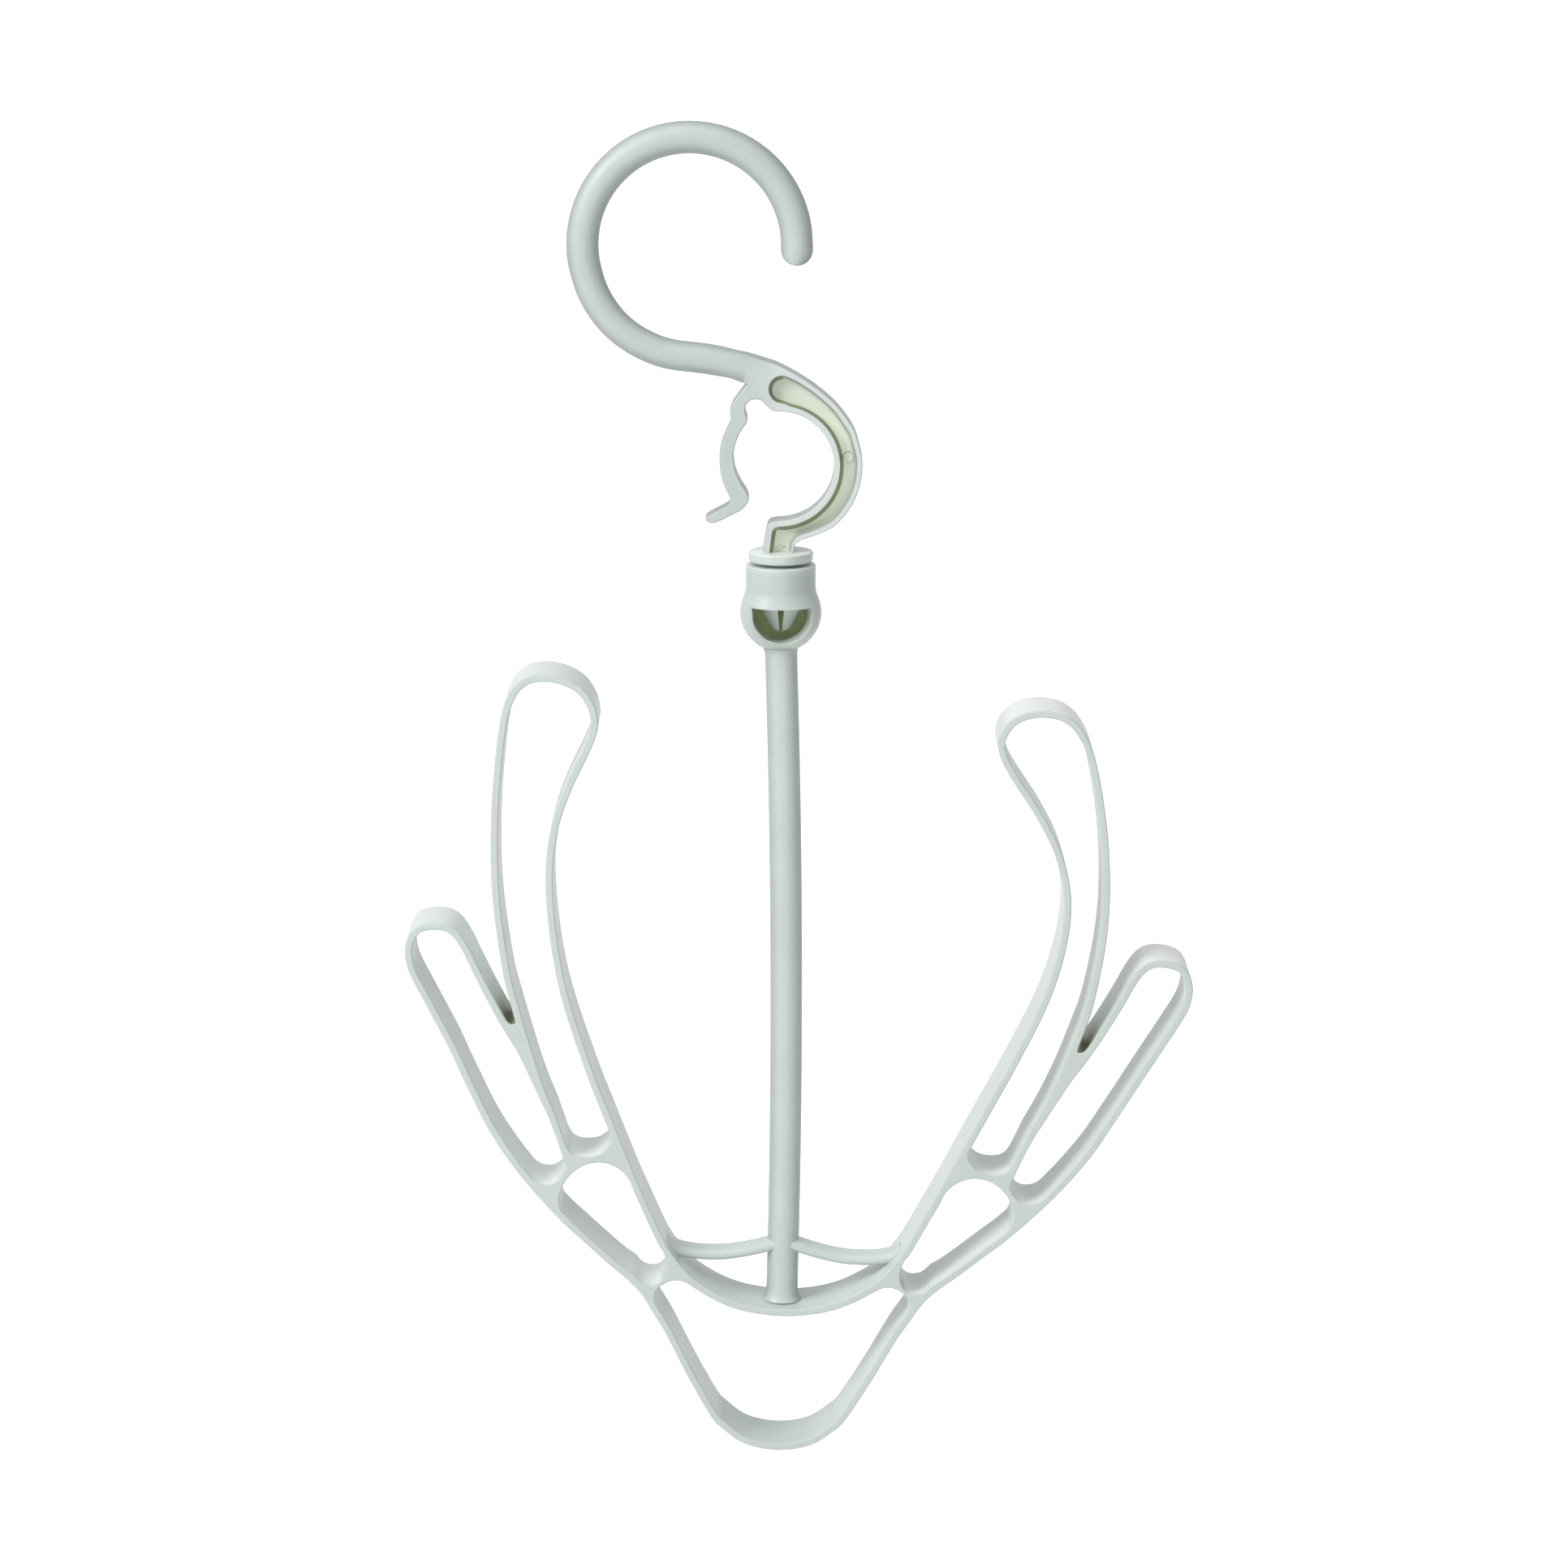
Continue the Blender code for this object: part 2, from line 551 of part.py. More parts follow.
def swivel_stem():
    neck_turn = math.asin(SOCKET_RADIUS / BALL_RADIUS)
    ball = [(BALL_RADIUS * math.sin(t), BALL_CENTRE_Z + BALL_RADIUS * math.cos(t))
            for t in [neck_turn + (math.pi - neck_turn) * k / BALL_STEPS for k in range(BALL_STEPS)]]
    profile = [(0, SOCKET_TOP), (SOCKET_RADIUS, SOCKET_TOP)] + ball + [(0, BALL_CENTRE_Z - BALL_RADIUS)]
    stem = turned("swivel_stem", profile, TURN_SIDES)
    line = stem_line(STEM_STEPS)
    round_section = section(STEM_RADIUS, STEM_RADIUS, ROUND, STEM_SIDES)
    combine(stem, swept("rod", line, [round_section] * len(line)), "UNION")
    hollow = [(0, LEDGE_Z), (CAVITY_NECK_RADIUS, LEDGE_Z), (CAVITY_NECK_RADIUS, BALL_CENTRE_Z),
              (CAVITY_RADIUS, BALL_CENTRE_Z)]
    hollow += [(CAVITY_RADIUS * math.cos(t), BALL_CENTRE_Z - CAVITY_RADIUS * math.sin(t))
               for t in [math.pi / 2 * k / CAVITY_STEPS for k in range(1, CAVITY_STEPS)]]
    hollow.append((0, BALL_CENTRE_Z - CAVITY_RADIUS))
    combine(stem, turned("cavity", hollow, TURN_SIDES), "DIFFERENCE")
    bore_radius = PIN_RADIUS + GAP
    bore = [(0, SOCKET_TOP + OVERRUN), (bore_radius, SOCKET_TOP + OVERRUN),
            (bore_radius, BALL_CENTRE_Z), (0, BALL_CENTRE_Z)]
    combine(stem, turned("bore", bore, TURN_SIDES), "DIFFERENCE")
    half = WINDOW_WIDTH / 2
    window = arc((0, BALL_CENTRE_Z), half, math.pi, 2 * math.pi, WINDOW_STEPS)
    window += [(half, BALL_CENTRE_Z + WINDOW_RISE), (-half, BALL_CENTRE_Z + WINDOW_RISE)]
    combine(stem, prism("window", window, -BALL_RADIUS - OVERRUN, 0), "DIFFERENCE")
    return finished(stem)


# Frame

def share_line(shares):
    return curve(scaled(shares, (0, 0), HALF_SPAN, RISE))


def strand_sides(side):
    """Both sides of the bow, inner strand and long finger, from the stem outwards."""
    strand = swayed(scaled(STRAND_SHARES, (0, 0), HALF_SPAN, RISE), side)
    bow = scaled(BOW_SHARES, (0, 0), HALF_SPAN, RISE)
    middle = curve(bow + strand + scaled(LONG_FINGER_SHARES, (0, 0), HALF_SPAN, RISE))
    return aside(middle, STRIP / 2), aside(middle, -STRIP / 2)


def outer_sides():
    """Both sides of the lower loop, outer strand and short finger, from the bottom up."""
    middle = share_line(LOOP_SHARES + SHORT_FINGER_SHARES)
    return aside(middle, STRIP / 2), aside(middle, -STRIP / 2)


def shoe_arm(name, side):
    """Long and short finger of one side with the strip that carries them."""
    strand_outer, strand_inner = strand_sides(side)
    loop_inner, loop_outer = outer_sides()
    strand_cut = STRAND_CUT_SHARE * RISE + GAP / 2
    outer_cut = OUTER_CUT_SHARE * RISE + GAP / 2
    finger_edge = from_level(strand_outer, strand_cut)
    short_edge = from_level(loop_outer, outer_cut)
    edge = joined(finger_edge, short_edge[::-1])
    drop_top = share_line(TEARDROP_TOP_SHARES)
    drop_right = first_part(from_level(loop_inner, outer_cut), drop_top[0][1])[:-1]
    drop_left = first_part(from_level(strand_inner, strand_cut), drop_top[-1][1])[:-1]
    outline = edge + drop_right + drop_top + drop_left[::-1]
    arm = prism(name, settled(outline, side), -FRAME_DEPTH / 2, FRAME_DEPTH / 2)
    long_slot = slot_outline(strand_inner, SLOT_LOW_SHARE * RISE, share_line(LONG_SLOT_END_SHARES))
    short_end = share_line(SHORT_SLOT_END_SHARES)[::-1]
    short_slot = slot_outline(loop_inner, SHORT_SLOT_LOW_SHARE * RISE, short_end)
    for slot in (long_slot, short_slot):
        cutter = prism("slot", settled(slot, side), -FRAME_DEPTH / 2 - OVERRUN, FRAME_DEPTH / 2 + OVERRUN)
        combine(arm, cutter, "DIFFERENCE")
    return finished(arm)


def slot_outline(inside, low, end):
    """A finger's opening: the strip's inside above a height, closed by a rounded end."""
    return from_level(inside, low) + end[::-1]


def lower_frame():
    """Bow, lower loop, junction webs and braces, between the two arms and under the stem."""
    strand_outer, strand_inner = strand_sides(1)
    loop_inner, loop_outer = outer_sides()
    strand_cut = STRAND_CUT_SHARE * RISE - GAP / 2
    outer_cut = OUTER_CUT_SHARE * RISE - GAP / 2
    bow = first_part(strand_outer, strand_cut)
    drop_low = share_line(TEARDROP_LOW_SHARES)
    drop_left = [p for p in first_part(strand_inner, strand_cut) if p[1] > drop_low[-1][1]]
    drop_right = [p for p in first_part(loop_inner, outer_cut) if p[1] > drop_low[0][1]]
    loop = first_part(loop_outer, outer_cut)
    half = bow + drop_left[::-1] + drop_low[::-1] + drop_right + loop[::-1]
    outline = settled(half, 1)[:-1] + settled(half, -1)[:-1]
    frame = prism("lower_frame", outline, -FRAME_DEPTH / 2, FRAME_DEPTH / 2)
    arch = share_line(ARCH_SHARES)
    inside = [p for p in first_part(loop_inner, outer_cut) if p[1] < arch[0][1]]
    under = [p for p in first_part(strand_inner, strand_cut) if p[0] < arch[-1][0]]
    half_hole = inside + arch + under[::-1]
    hole = settled(half_hole, 1)[:-1] + settled(half_hole, -1)[:-1]
    cutter = prism("hole", hole, -FRAME_DEPTH / 2 - OVERRUN, FRAME_DEPTH / 2 + OVERRUN)
    combine(frame, cutter, "DIFFERENCE")
    for side in (-1, 1):
        line = settled(share_line(BRACE_SHARES), side)
        shape = section(BRACE_HEIGHT / 2, BRACE_DEPTH / 2, BRACE_POWER, BRACE_SIDES)
        brace = swept("brace", line, [shape] * len(line))
        sheath = section(STEM_RADIUS + GAP, STEM_RADIUS + GAP, ROUND, STEM_SIDES)
        rod = stem_line(STEM_STEPS)
        combine(brace, swept("sheath", rod, [sheath] * len(rod)), "DIFFERENCE")
        combine(frame, brace, "UNION")
    return finished(frame)


def first_part(line, height):
    """The start of a line up to the first place above a height."""
    kept = []
    for i, point in enumerate(line):
        if point[1] > height:
            return kept + [level_cut(line[i - 1], point, height)]
        kept.append(point)
    return kept


def build():
    clear_scene()
    hanging_hook()
    clip_spring_arm()
    swivel_stem()
    lower_frame()
    shoe_arm("left_shoe_arm", -1)
    shoe_arm("right_shoe_arm", 1)


build()
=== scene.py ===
"""Looks of the shoe drying hanger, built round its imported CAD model.

Two mouldings of pale sage plastic: the hook with its snap clip and pivot, and the
hanger with its socket, stem and lattice frame. The moulded edges are rounded in the mesh.
Metres, +Z up, +Y away from the viewer, the origin at the top of the clip's bore.
"""
import math

import bmesh
import bpy
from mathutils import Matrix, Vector, geometry

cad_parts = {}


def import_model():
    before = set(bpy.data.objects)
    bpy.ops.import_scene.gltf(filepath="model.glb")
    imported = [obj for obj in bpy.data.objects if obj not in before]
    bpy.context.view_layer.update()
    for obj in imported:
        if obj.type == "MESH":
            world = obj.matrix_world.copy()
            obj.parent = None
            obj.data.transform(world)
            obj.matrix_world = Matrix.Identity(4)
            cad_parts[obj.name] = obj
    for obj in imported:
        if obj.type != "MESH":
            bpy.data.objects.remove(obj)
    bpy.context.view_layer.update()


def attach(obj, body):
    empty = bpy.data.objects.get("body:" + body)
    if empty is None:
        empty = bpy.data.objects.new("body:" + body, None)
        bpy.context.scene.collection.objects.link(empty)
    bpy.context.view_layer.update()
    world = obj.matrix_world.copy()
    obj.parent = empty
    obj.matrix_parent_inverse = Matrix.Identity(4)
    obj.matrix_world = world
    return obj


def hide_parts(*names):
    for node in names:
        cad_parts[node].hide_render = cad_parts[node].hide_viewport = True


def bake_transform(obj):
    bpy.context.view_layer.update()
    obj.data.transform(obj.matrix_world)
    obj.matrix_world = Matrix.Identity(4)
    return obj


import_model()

# Sizes of the CAD model; the shares are of a radius, or of the half span and the rise
BAR_RADIUS = 0.00375
HOOK_RADIUS = 0.02475
HOOK_CENTRE = (-0.0210, 0.0383)
TIP_DROP = 0.0011
HOOK_END_TURN = math.radians(190)
BAR_LEAD_SHARES = [
    (-0.922, -0.400), (-0.825, -0.587), (-0.688, -0.755), (-0.514, -0.889), (-0.319, -0.985),
    (-0.155, -1.030), (-0.003, -1.049), (0.149, -1.068), (0.301, -1.095), (0.430, -1.124),
]

BORE_RADIUS = 0.0128
BORE_CENTRE = (-0.0004, -0.0128)
RING_CENTRE = (0.0002, -0.0128)
RING_RADIUS = 0.0188
CLIP_DEPTH = 0.0070
CLIP_FLOOR = 0.0016
INNER_RIM = 0.0014
OUTER_RIM = 0.0012
RING_TOP_TURN = math.radians(8)
RING_LOW_TURN = math.radians(-50)
BORE_TOP_TURN = math.radians(98)
NECK_LEFT = -0.0043
NECK_RIGHT = 0.0031
NECK_CORNER = (-0.0030, -0.0260)
NECK_TOP = -0.0308
NECK_RIM = 0.0006
POCKET_END_RADIUS = 0.0033
POCKET_END_CENTRE = (0.0005, 0.0052)
POCKET_END_TURNS = (math.radians(275), math.radians(85))
POCKET_TOP_TURN = math.radians(80)
CHANNEL_TOP_SHARES = [
    (-0.375, 1.362), (-0.234, 1.319), (-0.059, 1.261), (0.122, 1.170), (0.372, 1.016),
    (0.574, 0.856), (0.734, 0.691), (0.904, 0.436),
]
RING_FOOT_SHARES = [(0.473, -0.848), (0.223, -0.937), (0.172, -0.975)]
NOTCH_SHARES = [
    (-0.440, 1.216), (-0.400, 1.216), (-0.336, 1.203), (-0.262, 1.137), (-0.195, 1.074),
    (-0.148, 1.008),
]
ARM_ROOT_OUT = (-0.0079, 0.0062)
ARM_OUTER_SHARES = [
    (-0.655, 1.395), (-0.735, 1.290), (-0.828, 1.165), (-0.880, 1.040), (-0.893, 0.960),
    (-0.880, 0.880), (-0.862, 0.825), (-0.880, 0.775), (-0.930, 0.690), (-0.985, 0.560),
    (-1.050, 0.390), (-1.079, 0.240), (-1.082, 0.100), (-1.072, -0.060), (-1.040, -0.230),
    (-0.975, -0.420), (-0.900, -0.565), (-0.868, -0.640), (-0.885, -0.695), (-0.960, -0.745),
    (-1.074, -0.800), (-1.215, -0.875), (-1.320, -0.930),
]
ARM_INNER_SHARES = [
    (-1.362, -0.965), (-1.352, -1.005), (-1.310, -1.035), (-1.230, -1.052), (-1.150, -1.040),
    (-1.032, -0.990), (-0.913, -0.925), (-0.796, -0.870), (-0.700, -0.815), (-0.612, -0.737),
    (-0.565, -0.665), (-0.548, -0.600), (-0.560, -0.535), (-0.618, -0.430), (-0.680, -0.335),
    (-0.740, -0.215), (-0.794, -0.070), (-0.819, 0.069), (-0.825, 0.188), (-0.812, 0.315),
    (-0.784, 0.426), (-0.735, 0.554), (-0.675, 0.659), (-0.610, 0.755), (-0.562, 0.815),
    (-0.556, 0.845), (-0.580, 0.905), (-0.605, 0.970), (-0.615, 1.030), (-0.612, 1.100),
    (-0.585, 1.150), (-0.545, 1.185), (-0.500, 1.208),
]

FLANGE_RADIUS = 0.0076
FLANGE_TOP = -0.0333
FLANGE_LOW = -0.0357
NECK_FOOT = FLANGE_TOP - 0.0006
SOCKET_TOP = -0.0364
SOCKET_RADIUS = 0.0084
BALL_RADIUS = 0.0096
BALL_Z = SOCKET_TOP - 0.0113
LEDGE_Z = SOCKET_TOP - 0.0059
PIN_RADIUS = 0.0039
HEAD_RADIUS = 0.0047
HEAD_LAND = 0.0045
HEAD_TAPER = 0.0049
HEAD_TIP_RADIUS = 0.0020
HEAD_TIP_ROUND = 0.0007
SPLIT_LENGTH = 0.0108
CAVITY_RADIUS = 0.0070
CAVITY_NECK_RADIUS = 0.0052
WINDOW_WIDTH = 0.0129
WINDOW_RISE = 0.0019
CLEARANCE = 0.0003

STEM_RADIUS = 0.0038
STEM_REACH = 0.2175
STEM_BOW = 0.0012
STEM_SHIFT = 0.0002

HALF_SPAN = 0.0943
RISE = 0.1526
FRAME_DEPTH = 0.0164
STRIP = 0.0018
BRACE_DEPTH = 0.0066
BRACE_HEIGHT = 0.0031
LEAN = math.radians(3.0)
CENTRE_LEAN = math.radians(2.0)
LEAN_FULL_SHARE = 0.40
TIP_RETURN = 0.0047
TIP_TURN = 0.0013
TIP_FROM_SHARE = 0.41
STRAND_SWAY = 0.0019
SWAY_FROM_SHARE = 0.36
SWAY_TO_SHARE = 1.0
BOW_SHARES = [
    (0.0, -0.004), (0.036, -0.003), (0.083, 0.001), (0.123, 0.007), (0.164, 0.017),
    (0.205, 0.031), (0.244, 0.048), (0.276, 0.070), (0.302, 0.092),
]
STRAND_SHARES = [
    (0.324, 0.117), (0.362, 0.165), (0.388, 0.198), (0.465, 0.303), (0.513, 0.369),
    (0.562, 0.441), (0.602, 0.507), (0.630, 0.572), (0.647, 0.639), (0.649, 0.701),
    (0.629, 0.765), (0.589, 0.824), (0.533, 0.886), (0.511, 0.917),
]
LONG_FINGER_SHARES = [
    (0.508, 0.938), (0.515, 0.954), (0.536, 0.973), (0.568, 0.985), (0.610, 0.991),
    (0.658, 0.988), (0.690, 0.976), (0.709, 0.960), (0.725, 0.938), (0.738, 0.904),
    (0.750, 0.857), (0.762, 0.790), (0.767, 0.712), (0.763, 0.645), (0.750, 0.580),
    (0.731, 0.515), (0.708, 0.467), (0.691, 0.434), (0.674, 0.403), (0.653, 0.368),
    (0.631, 0.335), (0.605, 0.301),
]
LOOP_SHARES = [
    (0.0, -0.228), (0.035, -0.226), (0.071, -0.221), (0.102, -0.212), (0.135, -0.196),
    (0.164, -0.178), (0.226, -0.113), (0.286, -0.043), (0.318, -0.011), (0.350, 0.020),
    (0.383, 0.042), (0.446, 0.074),
]
SHORT_FINGER_SHARES = [
    (0.508, 0.107), (0.570, 0.141), (0.671, 0.207), (0.751, 0.273), (0.811, 0.339),
    (0.868, 0.406), (0.926, 0.470), (0.970, 0.520), (0.982, 0.548), (0.979, 0.570),
    (0.965, 0.586), (0.945, 0.593), (0.917, 0.596), (0.887, 0.594), (0.863, 0.584),
    (0.839, 0.562), (0.814, 0.531), (0.786, 0.498), (0.758, 0.467), (0.726, 0.434),
    (0.692, 0.402), (0.664, 0.370), (0.635, 0.336), (0.608, 0.304), (0.584, 0.270),
    (0.565, 0.239),
]
LONG_SLOT_END_SHARES = [
    (0.449, 0.268), (0.468, 0.251), (0.488, 0.242), (0.512, 0.239), (0.536, 0.240),
    (0.555, 0.246), (0.568, 0.259),
]
SHORT_SLOT_END_SHARES = [
    (0.562, 0.218), (0.580, 0.202), (0.597, 0.194), (0.615, 0.192), (0.632, 0.194),
    (0.647, 0.199),
]
TEARDROP_TOP_SHARES = [
    (0.572, 0.156), (0.578, 0.166), (0.575, 0.179), (0.564, 0.197), (0.542, 0.214),
    (0.512, 0.226), (0.480, 0.230), (0.449, 0.227), (0.419, 0.216), (0.396, 0.199),
]
TEARDROP_LOW_SHARES = [
    (0.385, 0.055), (0.363, 0.040), (0.341, 0.035), (0.320, 0.037), (0.306, 0.046),
    (0.299, 0.058), (0.299, 0.072), (0.308, 0.092),
]
ARCH_SHARES = [
    (0.326, 0.006), (0.326, 0.018), (0.317, 0.029), (0.299, 0.038), (0.276, 0.043),
    (0.251, 0.041), (0.229, 0.033),
]
BRACE_SHARES = [
    (0.304, 0.091), (0.268, 0.081), (0.223, 0.0765), (0.180, 0.076), (0.140, 0.078),
    (0.099, 0.083), (0.058, 0.0895), (0.010, 0.099),
]
SLOT_LOW_SHARE = 0.272
SHORT_SLOT_LOW_SHARE = 0.212
FRAME_FOOT = (STEM_SHIFT, -STEM_REACH)

# Details that only the visible meshes have
# Pocket: its walls are sharp near the bore, the neck's left side and its end, and soft elsewhere
POCKET_ROUND = 0.00012
POCKET_WALL_LEVELS = (0.02, 0.5, 1.0)
SHARP_BY_BORE = INNER_RIM * 1.2
SHARP_LEFT_OF = NECK_CORNER[0] + INNER_RIM + 0.0003
SHARP_END_LEFT_OF = POCKET_END_CENTRE[0] + 0.0006
SHARP_DRAFT = 0.00078
SHARP_DRAFT_TURN = 0.0005
SOFT_DRAFT = 0.0004
SHARP_FILLET = 0.0002
SOFT_FILLET = 0.0012
# Round boss in the pocket, and ejector pin marks on the frame
BOSS_CENTRE = (0.01577, -0.01092)
BOSS_RADIUS = 0.00115
BOSS_RISE = 0.0009
BOSS_EDGE = 0.00015
MARKS = [(-0.0629, -0.1482), (0.0437, -0.1824)]
MARK_RADIUS = 0.00115
MARK_RISE = 0.00016
MARK_EDGE = 0.00004
SUNK = 0.0001
# Corner under the bar at the arm's root, and the bar's change from flat to round and thinner
ROOT_CORNER = [(-0.0004, 0.00035), (0.0001, 0.0001), (0.0, 0.0)]
ROOT_REACH = 0.0085
BAR_THINNING = 0.055
THINS_BETWEEN = (0.60, 0.82)
SOCKET_TAPER = 0.0002
SOCKET_ROUND = 0.0005
SOCKET_RIM = 0.0020
# Outer side of the socket below its rim: beyond its radius, and below its top
SHOULDER = [
    (-0.0002, 0.0036), (-0.0002, 0.0051), (-0.00005, 0.0064), (0.0004, 0.0078), (0.0009, 0.0094),
    (0.0012, 0.0113), (0.00106, 0.0130),
]
CEILING_RISE = 0.0006
WINDOW_SPREAD = 0.0005
WINDOW_SLANT = 0.28
WINDOW_SHIFT = 0.0003
WINDOW_ENDS = (-BALL_RADIUS - 0.002, -0.0005)
SPLIT_LOW = 0.00015
SPLIT_HIGH = 0.0011
STEM_TOP_SHARE = 0.82
STEM_LIFT = 0.0006
FOOT_FLARE = 0.0009
FOOT_FLARE_FROM = 0.0002
FOOT_FLARE_HEIGHT = 0.0006
TOP_FLARE = 0.0005
TOP_FLARE_SHARE = 0.92
TOP_FLARE_HEIGHT = 0.0005
BRACE_POWER = 2.6
NOTCH_WIDTH = 0.0018
OVERRUN = 0.001

# Painted light and shade in the attribute recess, and where they are
# Painted light on the pocket's thin rims, fading in between these x
RIM_PAINTED_LIGHT = 0.45
RIM_PAINTED_LIGHT_BETWEEN = (-0.0045, -0.0005)
# Painted light: the pocket's boss takes some of the floor colour
BOSS_TONE = 0.2
TONE_REACH = 0.0001
# Painted light: soft walls and the floor of the pocket, the floor more below z = 0
SOFT_WALL_TONE = 0.12
LOW_FLOOR_TONE = 0.44
HIGH_FLOOR_TONE = 0.36
# Boss sides take more of the floor colour: painted shade on the frame's pin marks, painted light on
# the pocket's boss
DISC_SIDE_TONE = 0.3
# Painted light on up-facing fingertip tops above this height, at this share on the left, and on
# walls whose upward slope lies between these
LEFT_TIP_SHARE = 0.5
TIPS_ABOVE = -0.1475
WEB_SLOPES = (0.45, 0.85)
# Painted shade near the notches: none beyond the first distance, full within the second
NOTCH_LIGHT_FROM = 0.007475
NOTCH_DARK_TO = 0.000975

# Rounding and fineness of the visible meshes
CURVE_STEPS = 20
SPACING = 0.0005
PATH_SPACING = 0.0006
FRAME_EDGE = 0.00038
CLIP_EDGE = 0.00035
EDGE_STEPS = 4
FILLET_STEPS = 6
DEPTH_STEPS = 7
RING_STEPS = 40
BORE_STEPS = 80
POCKET_END_STEPS = 24
TURN_SIDES = 96
HOOK_STEPS = 19
TIP_STEPS = 10
TIP_START = 0.15
DOME_STEPS = 30
CAVITY_STEPS = 14
WINDOW_STEPS = 40
WINDOW_TOP_STEPS = 12
STEM_STEPS = 220
STEM_SIDES = 64
BRACE_SIDES = 40
DISC_SIDES = 40
CREASE = math.radians(38)
TUBE_CREASE = math.radians(50)


# Values between limits

def part_way(value, low, high):
    """How far a value is on its way from low to high, from 0 to 1."""
    return min(max((value - low) / (high - low), 0), 1)


def smooth(share):
    return share * share * (3 - 2 * share)


# Lines of (x, z) points

def curve(points, steps=CURVE_STEPS):
    """A smooth line through the points."""
    line = []
    for i in range(len(points) - 1):
        a = points[max(i - 1, 0)]
        b = points[i]
        c = points[i + 1]
        d = points[min(i + 2, len(points) - 1)]
        for k in range(steps):
            t = k / steps
            line.append(tuple(0.5 * (2 * b[j] + (c[j] - a[j]) * t
                                     + (2 * a[j] - 5 * b[j] + 4 * c[j] - d[j]) * t ** 2
                                     + (3 * b[j] - a[j] - 3 * c[j] + d[j]) * t ** 3)
                              for j in range(2)))
    line.append(tuple(points[-1]))
    return line


def arc(centre, radius, start, end, steps):
    turns = [start + (end - start) * k / steps for k in range(steps + 1)]
    return [(centre[0] + radius * math.cos(t), centre[1] + radius * math.sin(t)) for t in turns]


def scaled(shares, centre, across, up):
    return [(centre[0] + across * p[0], centre[1] + up * p[1]) for p in shares]


def distance(a, b):
    return math.hypot(b[0] - a[0], b[1] - a[1])


def outward(line, closed):
    """Unit vectors pointing to the right of the line at each point."""
    count = len(line)
    found = []
    for i in range(count):
        a = line[(i - 1) % count] if closed else line[max(i - 1, 0)]
        b = line[(i + 1) % count] if closed else line[min(i + 1, count - 1)]
        length = max(distance(a, b), 1e-9)
        found.append(((b[1] - a[1]) / length, -(b[0] - a[0]) / length))
    return found


def aside(line, gap):
    """The line moved to its left."""
    return [(p[0] - gap * n[0], p[1] - gap * n[1]) for p, n in zip(line, outward(line, False))]


def level_cut(a, b, height):
    t = (height - a[1]) / (b[1] - a[1])
    return (a[0] + t * (b[0] - a[0]), height)


def from_level(line, height):
    """The part of a line after the first place where it reaches a height."""
    for i in range(len(line) - 1):
        if (line[i][1] - height) * (line[i + 1][1] - height) <= 0 and line[i][1] != line[i + 1][1]:
            return [level_cut(line[i], line[i + 1], height)] + line[i + 1:]
    return line


def first_part(line, height):
    """The start of a line up to the first place above a height."""
    kept = []
    for i, point in enumerate(line):
        if point[1] > height:
            return kept + [level_cut(line[i - 1], point, height)]
        kept.append(point)
    return kept


def crossing(a, b, c, d):
    """Where the segments a-b and c-d cross, or None."""
    det = (b[0] - a[0]) * (d[1] - c[1]) - (b[1] - a[1]) * (d[0] - c[0])
    if det == 0:
        return None
    t = ((c[0] - a[0]) * (d[1] - c[1]) - (c[1] - a[1]) * (d[0] - c[0])) / det
    s = ((c[0] - a[0]) * (b[1] - a[1]) - (c[1] - a[1]) * (b[0] - a[0])) / det
    if 0 <= t <= 1 and 0 <= s <= 1:
        return (a[0] + t * (b[0] - a[0]), a[1] + t * (b[1] - a[1]))
    return None


def joined(first, second, width):
    """Two lines made one near their crossing, where they are a width apart, and that place."""
    for i in range(len(first) - 1):
        for k in range(len(second) - 1, 0, -1):
            if crossing(first[i], first[i + 1], second[k - 1], second[k]):
                while distance(first[i], second[k]) < width:
                    if first[i][1] < second[k][1]:
                        i -= 1
                    else:
                        k += 1
                return first[:i + 1] + second[k:], first[i]
    return first + second, first[-1]


def settled(line, side):
    """Points of the frame's right half, or mirrored for the left, with the set it has taken."""
    placed = []
    for x, h in line:
        up = h / RISE
        lean = CENTRE_LEAN + (LEAN - CENTRE_LEAN) * part_way(up, 0, LEAN_FULL_SHARE)
        tip = (max(0, up - TIP_FROM_SHARE) / (1 - TIP_FROM_SHARE)) ** 2
        across = side * x * math.cos(lean) + h * math.sin(lean) - TIP_RETURN * tip
        rise = h * math.cos(lean) - side * (x * math.sin(lean) + TIP_TURN * tip)
        placed.append((FRAME_FOOT[0] + across, FRAME_FOOT[1] + rise))
    return placed if side > 0 else placed[::-1]


def swayed(line, side):
    """The inner strand's points moved to the right between its ends, before they are settled."""
    moved = []
    for x, h in line:
        along = (h / RISE - SWAY_FROM_SHARE) / (SWAY_TO_SHARE - SWAY_FROM_SHARE)
        if 0 < along < 1:
            x += side * STRAND_SWAY * math.sin(math.pi * along) ** 2
        moved.append((x, h))
    return moved


def resampled(line, spacing, closed):
    """The line with points an even distance apart."""
    path = line + [line[0]] if closed else line
    along = [0.0]
    for a, b in zip(path, path[1:]):
        along.append(along[-1] + distance(a, b))
    count = max(round(along[-1] / spacing), 4)
    points = []
    i = 0
    for k in range(count if closed else count + 1):
        target = along[-1] * k / count
        while i < len(path) - 2 and along[i + 1] < target:
            i += 1
        t = (target - along[i]) / max(along[i + 1] - along[i], 1e-12)
        points.append((path[i][0] + t * (path[i + 1][0] - path[i][0]),
                       path[i][1] + t * (path[i + 1][1] - path[i][1])))
    return points


